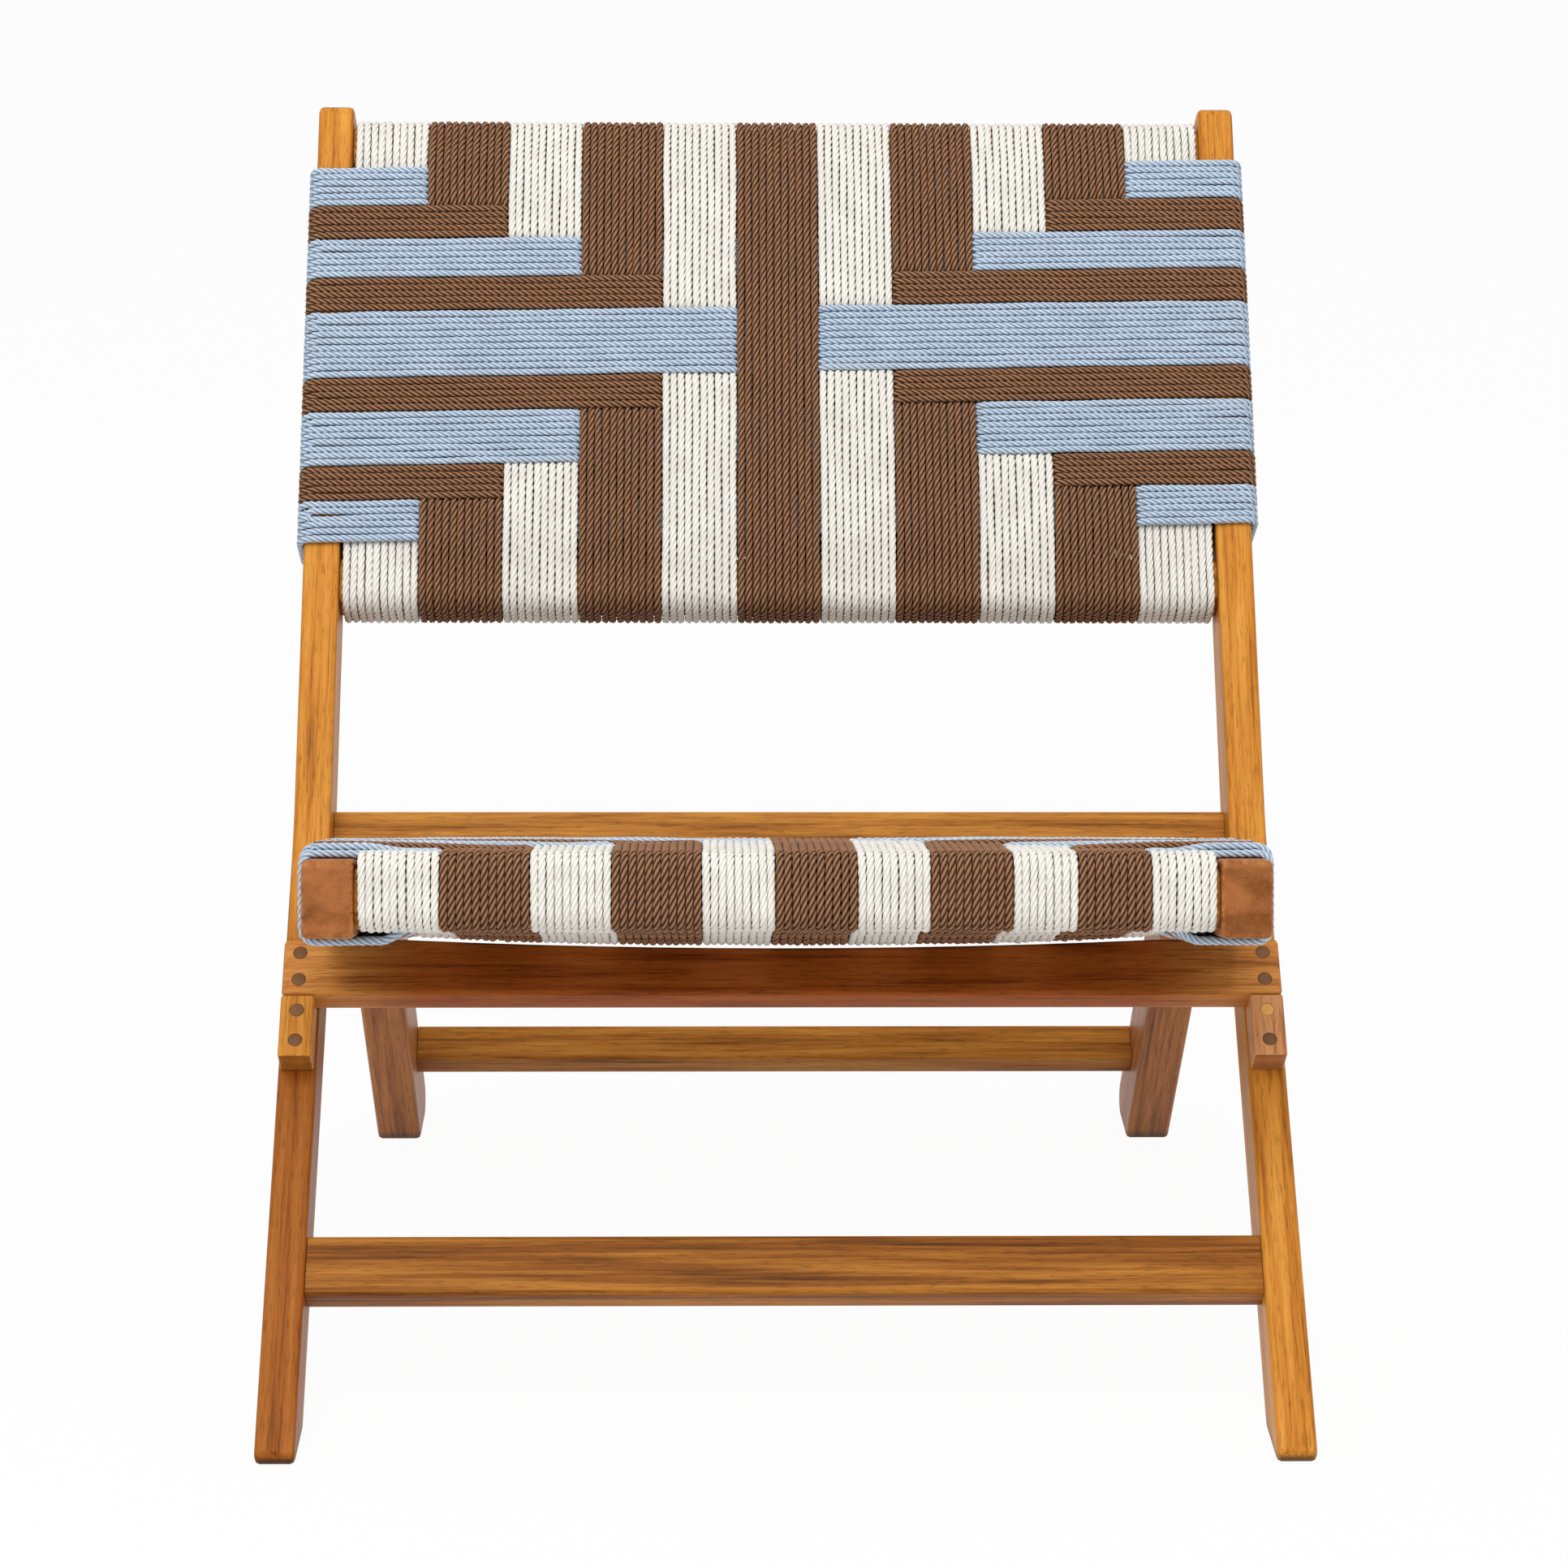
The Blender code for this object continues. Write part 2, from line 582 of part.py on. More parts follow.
def build_crossrail(chair, wood):
    """Add the crossrail and the two blocks under it."""
    end = HALF_WIDTH - CROSSRAIL_END_INSET
    scoop = STILE_INNER - SCOOP_END_INSET
    radius = (scoop ** 2 + CROSSRAIL_SCOOP ** 2) / (2 * CROSSRAIL_SCOOP)
    half = math.degrees(math.asin(scoop / radius))
    hollow = arc_points((0.0, CROSSRAIL_TOP - CROSSRAIL_SCOOP + radius), radius, 270.0 + half, 270.0 - half,
                        2 * BEND_STEPS)
    outline = [(-end, CROSSRAIL_BOTTOM), (end, CROSSRAIL_BOTTOM), (end, CROSSRAIL_TOP), *hollow,
               (-end, CROSSRAIL_TOP)]
    turn = Matrix(((0.0, 1.0, 0.0), (0.0, 0.0, 1.0), (1.0, 0.0, 0.0))).to_4x4()
    middle = Matrix.Translation((0.0, CLEAR + CROSSRAIL_THICKNESS / 2, 0.0))
    rail = chair.part("front_crossrail", prism_mesh("crossrail", outline, CROSSRAIL_THICKNESS), wood,
                      chair.back_frame, LEG @ middle @ turn)
    round_edges(rail, EDGE_ROUND)
    holes = [hole for _, side in SIDES for hole in peg_holes(CROSSRAIL_PEGS, side)]
    chair.boolean(rail, "DIFFERENCE", "holes", holes)
    for word, side in SIDES:
        place = Matrix.Translation((BLOCK_TOP - BLOCK_HEIGHT / 2, 0.0, side * STILE_CENTRE))
        shape = box_mesh("block", (BLOCK_HEIGHT, CROSSRAIL_THICKNESS, BLOCK_WIDTH))
        block = chair.part(word + "_bearer_block", shape, wood, chair.back_frame, LEG @ middle @ place)
        round_edges(block, EDGE_ROUND / 2)
        chair.boolean(block, "DIFFERENCE", "holes", peg_holes(BLOCK_PEGS, side))


def build_pegs(chair, dark, pale):
    """Add the pegs of the crossrail and of the blocks: the upper one of the right block is pale."""
    end = CROSSRAIL_FACE + PEG_PROUD
    for word, side in SIDES:
        for kind, heights in (("crossrail", CROSSRAIL_PEGS), ("block", BLOCK_PEGS)):
            for level, along in zip(("lower", "upper"), heights):
                name = word + "_" + kind + "_" + level + "_peg"
                wood = pale if name == "right_block_upper_peg" else dark
                shape, place = peg_piece(along, side, -PEG_DEPTH, end, 0.0)
                chair.part(name, shape, wood, chair.back_frame, place)


def build_pivots(chair, steel, nylon):
    """Add a bolt, a nut and a spacer on each side."""
    shank = BOLT_DIAMETER / 2
    head_face = HALF_WIDTH - CLEAR
    head_back = head_face - BOLT_HEAD_THICKNESS
    nut_back = SEAT_INNER + CLEAR
    nut_face = nut_back + NUT_THICKNESS
    bolt_end = nut_face - NUT_BORE_DEPTH + CLEAR
    bolt = [(0.0, head_face), (BOLT_HEAD_DIAMETER / 2, head_face), (BOLT_HEAD_DIAMETER / 2, head_back),
            (shank, head_back), (shank, bolt_end), (0.0, bolt_end)]
    bore = shank + 2 * CLEAR
    bore_end = nut_face - NUT_BORE_DEPTH
    nut = [(0.0, bore_end), (bore, bore_end), (bore, nut_face), (NUT_DIAMETER / 2, nut_face),
           (NUT_DIAMETER / 2, nut_back), (0.0, nut_back)]
    spacer_face = STILE_INNER - CLEAR
    spacer_back = SEAT_HALF + CLEAR
    spacer = [(bore, spacer_face), (SPACER_DIAMETER / 2, spacer_face), (SPACER_DIAMETER / 2, spacer_back),
              (bore, spacer_back), (bore, spacer_face)]
    pieces = (("bolt", bolt, steel), ("nut", nut, steel), ("spacer", spacer, nylon))
    for word, side in SIDES:
        for kind, profile, material in pieces:
            mesh, place = pivot_piece(turned_mesh(kind, profile), 0.0, side)
            chair.part(word + "_pivot_" + kind, mesh, material, chair.back_frame, place)


# Woven panels

def band_spans(start, end, ropes, gap):
    """Split a length among bands by their number of ropes, with a gap between bands."""
    pitch = (end - start) / sum(ropes)
    spans = []
    for count in ropes:
        spans.append((start + gap / 2, start + count * pitch - gap / 2))
        start += count * pitch
    return spans


class WovenPanel:
    """Rope columns round two rails, interlaced with rope rows round two side members.

    The frame's X runs along the panel, Y out of its upper face and Z to the chair's right.
    """

    def __init__(self, frame, half_depth, side_half, inner_half, rails, rows, column_ropes, row_ropes):
        self.frame = frame
        self.half_depth = half_depth
        self.side_half = side_half
        self.inner_half = inner_half
        self.rails = rails
        inner = inner_half - COLUMN_EDGE + COLUMN_GAP / 2
        self.columns = band_spans(-inner, inner, column_ropes, COLUMN_GAP)
        self.rows = band_spans(rows[0], rows[1], row_ropes, ROW_GAP)

    def column_outline(self, rank, offset):
        """Side outline of a column: rank counts from the nearer side of the panel."""
        rail_half = self.half_depth - ROPE_LIFT
        base = rail_half + CLEAR + offset
        low = self.rails[0] + WRAPPED_RAIL_ROUND
        high = self.rails[1] - WRAPPED_RAIL_ROUND
        face = [(low, base)]
        level = 0.0
        for (start, _), floats in zip(self.rows, ROW_FLOATS):
            lift = ROPE_LIFT if rank > floats else 0.0
            if lift != level:
                face += [(start - ROW_GAP, base + level), (start, base + lift)]
                level = lift
        if level:
            last = self.rows[-1][1]
            face += [(last, base + level), (last + ROW_GAP, base)]
        face.append((high, base))
        return self.wrap(face, low, high, rail_half - WRAPPED_RAIL_ROUND, WRAPPED_RAIL_ROUND + CLEAR + offset)

    def row_outline(self, floats, offset):
        """Cross outline of a row, which passes over the outer columns and under the others."""
        base = self.half_depth + CLEAR + offset
        high = self.side_half - EDGE_ROUND
        face = [(-high, base), (self.columns[floats - 1][1], base), (self.columns[floats][0], base - ROPE_LIFT),
                (self.columns[-1 - floats][1], base - ROPE_LIFT), (self.columns[-floats][0], base), (high, base)]
        return self.wrap(face, -high, high, self.half_depth - EDGE_ROUND, EDGE_ROUND + CLEAR + offset)

    @staticmethod
    def wrap(face, low, high, depth, radius):
        """Close a face and its mirror image with round corners at both ends."""
        back = [(along, -out) for along, out in reversed(face)]
        top = arc_points((high, depth), radius, 90.0, 0.0, ROUND_STEPS)[1:]
        top += arc_points((high, -depth), radius, 0.0, -90.0, ROUND_STEPS)[:-1]
        bottom = arc_points((low, -depth), radius, -90.0, -180.0, ROUND_STEPS)[1:]
        bottom += arc_points((low, depth), radius, 180.0, 90.0, ROUND_STEPS)[:-1]
        return face + top + back + bottom

    def column_bands(self):
        """Columns as (mesh, matrix), from left to right."""
        bands = []
        count = len(self.columns)
        for index, (start, end) in enumerate(self.columns):
            rank = min(index, count - 1 - index) + 1
            outlines = [self.column_outline(rank, offset) for offset in (ROPE_DIAMETER, 0.0)]
            place = Matrix.Translation((0.0, 0.0, (start + end) / 2))
            bands.append((outline_mesh("column", outlines, end - start), self.frame @ place))
        return bands

    def row_bands(self):
        """Rows as (mesh, matrix), in the order of the panel's X."""
        turn = Matrix(((0.0, 0.0, -1.0), (0.0, 1.0, 0.0), (1.0, 0.0, 0.0))).to_4x4()
        bands = []
        for (start, end), floats in zip(self.rows, ROW_FLOATS):
            outlines = [self.row_outline(floats, offset) for offset in (ROPE_DIAMETER, 0.0)]
            place = Matrix.Translation(((start + end) / 2, 0.0, 0.0))
            bands.append((outline_mesh("row", outlines, end - start), self.frame @ place @ turn))
        return bands

    def carry_strand(self, rows, side):
        """Strand beside a side member that carries a rope from row to row, fused to each of them."""
        top = self.half_depth
        bottom = top - ROPE_DIAMETER
        joint = top + ROPE_DIAMETER / 2
        low = rows[0][0]
        high = rows[-1][1]
        outline = [(low, bottom), (high, bottom), (high, top)]
        for start, end in reversed(rows):
            first = start + ROW_GAP
            last = end - ROW_GAP
            outline += [(last, top), (last, joint), (first, joint), (first, top)]
        outline.append((low, top))
        place = Matrix.Translation((0.0, 0.0, side * (self.inner_half - COLUMN_EDGE / 2)))
        return prism_mesh("strand", outline, COLUMN_EDGE - 2 * CLEAR), self.frame @ place

    def build(self, chair, word, parent, cream, brown, blue):
        """Add each column as a part, and the rows of each colour as one part."""
        for index, (mesh, place) in enumerate(self.column_bands()):
            rope = brown if index % 2 else cream
            chair.part(word + "_column_" + str(index + 1), mesh, rope, parent, place)
        bands = self.row_bands()
        for kind, first, side, rope in (("blue", 0, -1, blue), ("brown", 1, 1, brown)):
            strand, place = self.carry_strand(self.rows[first::2], side)
            rows = chair.part(word + "_rows_" + kind, strand, rope, parent, place)
            chair.boolean(rows, "UNION", "bands", bands[first::2])


def back_panel():
    """Woven back: the rows fill the opening between the two rails, a little above the lower one."""
    top = BACK_LENGTH - TOP_RAIL_DROP
    rows = (BOTTOM_RAIL_RISE + WRAPPED_RAIL_HEIGHT + BOTTOM_ROW_GAP, top - WRAPPED_RAIL_HEIGHT)
    return WovenPanel(BACK_MIDDLE, STILE_DEPTH / 2, HALF_WIDTH, STILE_INNER, (BOTTOM_RAIL_RISE, top), rows,
                      BACK_COLUMN_ROPES, BACK_ROW_ROPES)


def seat_panel():
    """Woven seat: the rows end in front of the pivot spacers."""
    front = SEAT_FRONT_RAIL_INSET
    rear = SEAT_REACH + SEAT_REAR_RAIL_OFFSET + SEAT_REAR_RAIL_WIDTH
    rows = (front + SEAT_FRONT_RAIL_WIDTH + ROW_GAP, SEAT_REACH - SPACER_DIAMETER / 2 - ROW_GAP)
    return WovenPanel(SEAT, SEAT_RAIL_DEPTH / 2, SEAT_HALF, SEAT_INNER, (front, rear), rows,
                      SEAT_COLUMN_ROPES, SEAT_ROW_ROPES)


def centre_on_floor(chair):
    """Move the chair so that the middle of its box stands on the origin."""
    bpy.context.view_layer.update()
    depsgraph = bpy.context.evaluated_depsgraph_get()
    depths = []
    for item in chair.parts.objects:
        if item.type == "MESH":
            shape = item.evaluated_get(depsgraph)
            depths += [(shape.matrix_world @ point.co).y for point in shape.data.vertices]
    chair.back_frame.location.y = -(min(depths) + max(depths)) / 2
    bpy.context.view_layer.update()


def main():
    """Build the chair."""
    clear_scene()
    chair = Assembly()
    wood = make_material("oiled_acacia", ACACIA, 0.45)
    dark = make_material("dark_pegs", DARK_WOOD, 0.5)
    pale = make_material("pale_peg", PALE_WOOD, 0.5)
    cream = make_material("cream_rope", CREAM_ROPE, 0.8)
    brown = make_material("brown_rope", BROWN_ROPE, 0.75)
    blue = make_material("blue_rope", BLUE_ROPE, 0.8)
    steel = make_material("zinc_steel", STEEL, 0.35, 1.0)
    nylon = make_material("nylon_spacer", NYLON, 0.5)

    between_stiles = back_rails()
    between_seat_rails = seat_rails()
    build_stiles(chair, wood, between_stiles)
    for rail in between_stiles:
        rail.build(chair, wood, chair.back_frame)
    build_crossrail(chair, wood)
    build_pegs(chair, dark, pale)
    build_pivots(chair, steel, nylon)
    build_seat_rails(chair, wood, between_seat_rails)
    for rail in between_seat_rails:
        rail.build(chair, wood, chair.seat_frame)
    back_panel().build(chair, "back", chair.back_frame, cream, brown, blue)
    seat_panel().build(chair, "seat", chair.seat_frame, cream, brown, blue)
    centre_on_floor(chair)


main()
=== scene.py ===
"""Looks of a low folding chair with a woven rope back and seat.

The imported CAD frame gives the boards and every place. The boards are dressed as merged copies of
the CAD nodes, and each band of the weave is wound as one continuous laid rope. Lengths are
in metres unless a name says otherwise. The chair faces -Y and stands on Z = 0.
"""

from __future__ import annotations

import json
import logging
import math
from dataclasses import dataclass, field
from enum import Enum
from typing import Any

import bmesh
import bpy
import numpy as np
from mathutils import Matrix, Vector

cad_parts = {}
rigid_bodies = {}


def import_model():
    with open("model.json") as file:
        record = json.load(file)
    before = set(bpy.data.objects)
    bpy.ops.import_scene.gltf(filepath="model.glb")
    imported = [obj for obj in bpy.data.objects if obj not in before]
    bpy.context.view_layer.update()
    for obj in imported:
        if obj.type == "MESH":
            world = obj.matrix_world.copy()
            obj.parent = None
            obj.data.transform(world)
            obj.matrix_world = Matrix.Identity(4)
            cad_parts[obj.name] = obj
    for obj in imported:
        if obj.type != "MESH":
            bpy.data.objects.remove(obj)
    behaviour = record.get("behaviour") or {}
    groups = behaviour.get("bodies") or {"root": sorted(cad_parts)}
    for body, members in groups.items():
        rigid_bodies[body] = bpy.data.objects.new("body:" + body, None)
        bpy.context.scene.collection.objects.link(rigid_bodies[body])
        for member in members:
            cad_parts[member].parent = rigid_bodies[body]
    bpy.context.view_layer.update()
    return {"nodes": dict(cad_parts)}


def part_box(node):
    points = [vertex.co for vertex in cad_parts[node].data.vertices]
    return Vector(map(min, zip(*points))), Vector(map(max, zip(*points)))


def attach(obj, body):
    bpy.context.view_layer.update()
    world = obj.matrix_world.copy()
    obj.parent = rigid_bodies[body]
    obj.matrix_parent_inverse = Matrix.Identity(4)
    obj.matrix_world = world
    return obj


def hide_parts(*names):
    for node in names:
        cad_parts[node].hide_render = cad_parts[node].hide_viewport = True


LOG = logging.getLogger("rope_chair")

Array = np.ndarray
Material = bpy.types.Material
Mesh = bpy.types.Mesh
Node = bpy.types.Node
Piece = bpy.types.Object
Socket = bpy.types.NodeSocket
Tree = bpy.types.NodeTree
Pair = tuple[float, float]
Triple = tuple[float, float, float]

WHITE = (1.0, 1.0, 1.0, 1.0)
MM = 1000.0  # millimetres in a metre
PATTERN_STEPS = (1.0, 2.7, 1.3)  # times a board's offset by which its pattern moves along each axis

# Slopes of the frames, as angles above the floor towards the chair's back, and where their boards bend
LEG_DEG = 42.1
BACK_DEG = 54.7
SEAT_DEG = -15.8
REAR_LEG_DEG = -50.6
STILE_BEND = (0.0, -0.0084, 0.2972)
SEAT_BEND = (0.0, 0.0178, 0.2286)

CLEAR = 0.0003  # gap between a rope and what it lies on
ROPE_DIAMETER = 0.0048
ROPE_LIFT = ROPE_DIAMETER + 2.0 * CLEAR  # from a rope that passes under to one that passes over
ROPE_REACH = CLEAR + ROPE_DIAMETER / 2.0  # from a member to the middle of the rope on it
RUN_STEP = 0.0015  # spacing of the points along a rope's route
MIN_ARC_STEPS = 4  # points on a rope's quarter turn, at least
FLAT_STEPS = 7  # points down a rail's edge, with the ends of the turns beside it


class Body(Enum):
    """The two bodies of the CAD frame."""

    BACK = "back_frame"
    SEAT = "seat_frame"


class RopeColour(Enum):
    """Rope colours, by the record's material slot."""

    CREAM = "cream_rope"
    BROWN = "brown_rope"
    BLUE = "blue_rope"


class PegKind(Enum):
    """The two sorts of peg, by the record's material slot."""

    DARK = "dark_peg"
    PALE = "pale_peg"


# Small helpers


def slope(angle_deg: float) -> Vector:
    """Direction in the chair's side view at an angle above the floor."""
    return Vector((0.0, math.cos(math.radians(angle_deg)), math.sin(math.radians(angle_deg))))


def square_to(direction: Vector) -> Vector:
    """Direction in the side view that stands square on another one."""
    return Vector((0.0, -direction.z, direction.y))


def smooth_step(values: Array) -> Array:
    """Ease from 0 to 1 as the values go from 0 to 1."""
    held = np.clip(values, 0.0, 1.0)
    return held * held * (3.0 - 2.0 * held)


def linear(code: str) -> tuple[float, float, float, float]:
    """Turn an sRGB hex code into linear RGBA.

    Args:
        code: Colour such as "#A0B1C2".

    Returns:
        Linear red, green, blue and an alpha of 1.
    """
    values = [int(code[start:start + 2], 16) / 255.0 for start in (1, 3, 5)]
    red, green, blue = (
        value / 12.92 if value <= 0.04045 else ((value + 0.055) / 1.055) ** 2.4 for value in values
    )
    return red, green, blue, 1.0


def add_node(tree: Tree, kind: str, inputs: dict[Any, Any] | None = None, **settings: Any) -> Node:
    """Add a node with its settings, its values and its links.

    A Mix node's inputs have numbers: 0 is its share, and the two things that it mixes are 2 and 3
    for values, 4 and 5 for vectors, and 6 and 7 for colours.

    Args:
        tree: Tree that receives the node.
        kind: Type of the node.
        inputs: For each named or numbered input its value, the socket to link from, or a node, whose
            first output in use is linked.
        **settings: Properties of the node.

    Returns:
        The new node.
    """
    node = tree.nodes.new(kind)
    for name, value in settings.items():
        setattr(node, name, value)
    for key, value in (inputs or {}).items():
        if isinstance(value, Node):
            value = next(socket for socket in value.outputs if socket.enabled)
        if isinstance(value, Socket):
            tree.links.new(value, node.inputs[key])
        else:
            node.inputs[key].default_value = value
    return node


def new_material(name: str) -> tuple[Material, Tree]:
    """Make a material with an empty node tree.

    Args:
        name: Name of the real material.

    Returns:
        The material and its tree.
    """
    material = bpy.data.materials.new(name)
    material.use_nodes = True
    material.node_tree.nodes.clear()
    return material, material.node_tree


def new_tree(name: str, inputs: dict[str, str]) -> tuple[Tree, Any]:
    """Make a Geometry Nodes tree with named inputs.

    Args:
        name: Name of the tree.
        inputs: Kind of each input between the geometry and the material.

    Returns:
        The tree and the sockets of its inputs.
    """
    tree = bpy.data.node_groups.new(name, "GeometryNodeTree")
    for label, kind in {"Geometry": "Geometry", **inputs, "Material": "Material"}.items():
        tree.interface.new_socket(label, in_out="INPUT", socket_type="NodeSocket" + kind)
    tree.interface.new_socket("Geometry", in_out="OUTPUT", socket_type="NodeSocketGeometry")
    return tree, add_node(tree, "NodeGroupInput").outputs


def end_tree(tree: Tree, last: Node, material: Socket) -> Tree:
    """Let a tree end in plain geometry that has its material.

    Args:
        tree: The tree.
        last: Node that gives the shape.
        material: The tree's input for the material.

    Returns:
        The tree.
    """
    whole = add_node(tree, "GeometryNodeRealizeInstances", {"Geometry": last})
    dressed = add_node(tree, "GeometryNodeSetMaterial", {"Geometry": whole, "Material": material})
    add_node(tree, "NodeGroupOutput", {"Geometry": dressed})
    return tree


def show(name: str, data: Any) -> Piece:
    """Put a mesh or a curve into the scene as an object at the origin.

    Args:
        name: Name of the object.
        data: Its mesh or curve, with its place in the points.

    Returns:
        The object.
    """
    data.name = name
    piece = bpy.data.objects.new(name, data)
    bpy.context.scene.collection.objects.link(piece)
    return piece


def finished_mesh(holder: Piece) -> Mesh:
    """Turn an object and its modifiers into a plain mesh, and remove the object.

    Args:
        holder: Object that carries the modifiers.

    Returns:
        The evaluated mesh.
    """
    bpy.context.view_layer.update()
    graph = bpy.context.evaluated_depsgraph_get()
    mesh = bpy.data.meshes.new_from_object(holder.evaluated_get(graph), depsgraph=graph)
    bpy.data.objects.remove(holder, do_unlink=True)
    return mesh


def grown_mesh(holder: Piece, tree: Tree, values: dict[str, Any]) -> Mesh:
    """Run a Geometry Nodes tree on an object and keep the plain mesh that it gives.

    Args:
        holder: Object that the tree starts from. It is removed.
        tree: The tree.
        values: Value of each named input.

    Returns:
        The finished mesh.
    """
    modifier = holder.modifiers.new("Grown", "NODES")
    modifier.node_group = tree
    for socket in tree.interface.items_tree:
        if socket.item_type == "SOCKET" and socket.in_out == "INPUT" and socket.name in values:
            modifier[socket.identifier] = values[socket.name]
    return finished_mesh(holder)


# Finishes


@dataclass(frozen=True)
class RopeFinish:
    """Matt laid rope of twisted polyester and cotton yarn."""

    name: str
    ridge: str  # colour on the strands
    groove: str  # painted shade between the strands: the colour at the floor of a groove
    gap: str  # painted shade where ropes touch: the colour that the occlusion mask mixes in
    groove_shade_start: float = 0.2  # depth at which the painted groove shade sets in
    shade_reach_mm: float = 3.0  # reach of the occlusion test that paints shade near a neighbouring rope
    shade_fade: Pair = (0.08, 0.5)  # unoccluded share from full painted shade to none
    mottle_mm: float = 16.0  # size of the uneven dyeing
    mottle: Pair = (0.3, 0.7)  # noise from its darkest to its lightest
    dye: Pair = (0.93, 1.05)  # its darkest and its lightest
    fibre_mm: float = 0.7  # size of the fuzz, drawn coarser than real fibres so that it shows
    strand_bump: Pair = (0.9, 0.0006)  # strength and height of the strands' roundness
    fibre_bump: Pair = (0.3, 0.0002)  # strength and height of the fuzz
    roughness: float = 0.85
    specular: float = 0.12
    sheen: Pair = (0.05, 0.5)  # weight and roughness of the fibres' sheen

    def material(self) -> Material:
        """Build the material: round strands, painted shade in the grooves and where ropes touch, and a
        slight fuzz, with no gloss.

        Returns:
            The material.
        """
        material, tree = new_material(self.name)
        place = add_node(tree, "ShaderNodeTexCoord").outputs["Object"]
        groove = add_node(tree, "ShaderNodeAttribute", attribute_name="groove").outputs["Fac"]
        # Painted shade: the colour darkens towards the groove colour between the strands.
        between = add_node(tree, "ShaderNodeMapRange", {
            "Value": groove, "From Min": self.groove_shade_start}, interpolation_type="SMOOTHSTEP")
        strands = add_node(tree, "ShaderNodeMix", {
            0: between, 6: linear(self.ridge), 7: linear(self.groove)}, data_type="RGBA")
        mottle = add_node(tree, "ShaderNodeTexNoise", {
            "Vector": place, "Scale": MM / self.mottle_mm, "Detail": 2.0})
        level = add_node(tree, "ShaderNodeMapRange", {
            "Value": mottle, "From Min": self.mottle[0], "From Max": self.mottle[1],
            "To Min": self.dye[0], "To Max": self.dye[1]})
        dyed_with_groove_shade = add_node(tree, "ShaderNodeVectorMath", {0: strands, 1: level}, operation="MULTIPLY")
        # Painted shade: where ambient occlusion finds a rope close by, the gap colour is mixed in.
        near = add_node(tree, "ShaderNodeAmbientOcclusion", {"Distance": self.shade_reach_mm / MM}, samples=4)
        free = add_node(tree, "ShaderNodeMapRange", {
            "Value": near.outputs["AO"], "From Min": self.shade_fade[0], "From Max": self.shade_fade[1]})
        colour = add_node(tree, "ShaderNodeMix", {0: free, 6: linear(self.gap), 7: dyed_with_groove_shade}, data_type="RGBA")
        fuzz = add_node(tree, "ShaderNodeTexNoise", {
            "Vector": place, "Scale": MM / self.fibre_mm, "Detail": 1.0})
        depth = add_node(tree, "ShaderNodeMath", {0: groove, 1: 2.0}, operation="POWER")
        strength, height = self.strand_bump
        rounded = add_node(tree, "ShaderNodeBump", {
            "Height": depth, "Strength": strength, "Distance": height}, invert=True)
        strength, height = self.fibre_bump
        bump = add_node(tree, "ShaderNodeBump", {
            "Height": fuzz, "Strength": strength, "Distance": height, "Normal": rounded})
        shader = add_node(tree, "ShaderNodeBsdfPrincipled", {
            "Base Color": colour, "Roughness": self.roughness, "Specular IOR Level": self.specular,
            "Normal": bump, "Sheen Weight": self.sheen[0], "Sheen Roughness": self.sheen[1]})
        add_node(tree, "ShaderNodeOutputMaterial", {"Surface": shader})
        return material


@dataclass(frozen=True)
class Grain:
    """Direction of a board's grain, which may follow one bend."""

    first: Vector  # direction of the grain, or of its first stretch
    second: Vector | None = None  # direction after the bend, or None on a straight board
    bend: Triple = (0.0, 0.0, 0.0)  # middle of the bend
    ease: float = 0.03  # half the length over which the grain turns

    def nodes(self, tree: Tree, place: Socket, offset: float) -> tuple[Node, Any]:
        """Add nodes that give each point its place in the board, with Y along the grain.

        Args:
            tree: Tree of the material.
            place: Point in the chair's frame.
            offset: Distance that shifts the pattern.

        Returns:
            Place in the board, and the direction of the grain there.
        """
        from_bend = add_node(tree, "ShaderNodeVectorMath", {0: place, 1: self.bend}, operation="SUBTRACT")
        places = []
        for direction in (self.first, self.second or self.first):
            places.append(add_node(tree, "ShaderNodeMapping", {
                "Vector": from_bend, "Location": [offset * step for step in PATTERN_STEPS],
                "Rotation": direction.rotation_difference(Vector((0.0, 1.0, 0.0))).to_euler()}))
        if self.second is None:
            return places[0], tuple(self.first)
        past = add_node(tree, "ShaderNodeVectorMath", {
            0: from_bend, 1: tuple((self.first + self.second).normalized())}, operation="DOT_PRODUCT")
        share = add_node(tree, "ShaderNodeMapRange", {
            "Value": past, "From Min": -self.ease, "From Max": self.ease})
        mixed = add_node(tree, "ShaderNodeMix", {0: share, 4: places[0], 5: places[1]}, data_type="VECTOR")
        turned = add_node(tree, "ShaderNodeMix", {
            0: share, 4: tuple(self.first), 5: tuple(self.second)}, data_type="VECTOR")
        return mixed, turned


@dataclass(frozen=True)
class StainAndShade:
    """Stretch of a board that differs in colour: a real stain, such as heartwood or a scuffed toe, or
    painted shade where another part shades the board.
    """

    colour: str  # colour that the board's own colour is multiplied by
    axis: str  # axis of the chair along which it sets in
    start: float  # distance from the chair's middle or the floor at which it starts
    full: float  # distance under which it is full

    def over(self, tree: Tree, place: Socket, colour: Node) -> Node:
        """Add the nodes that multiply a colour by a stain's colour or by painted shade.

        Args:
            tree: Tree of the material.
            place: Point in the chair's frame.
            colour: Node of the colour to darken.

        Returns:
            Node of the darkened colour.
        """
        along = add_node(tree, "ShaderNodeSeparateXYZ", {0: place}).outputs[self.axis]
        distance = add_node(tree, "ShaderNodeMath", {0: along}, operation="ABSOLUTE")
        share = add_node(tree, "ShaderNodeMapRange", {
            "Value": distance, "From Min": self.start, "From Max": self.full},
            interpolation_type="SMOOTHSTEP")
        return add_node(tree, "ShaderNodeMix", {
            0: share, 6: colour, 7: linear(self.colour)}, data_type="RGBA", blend_type="MULTIPLY")


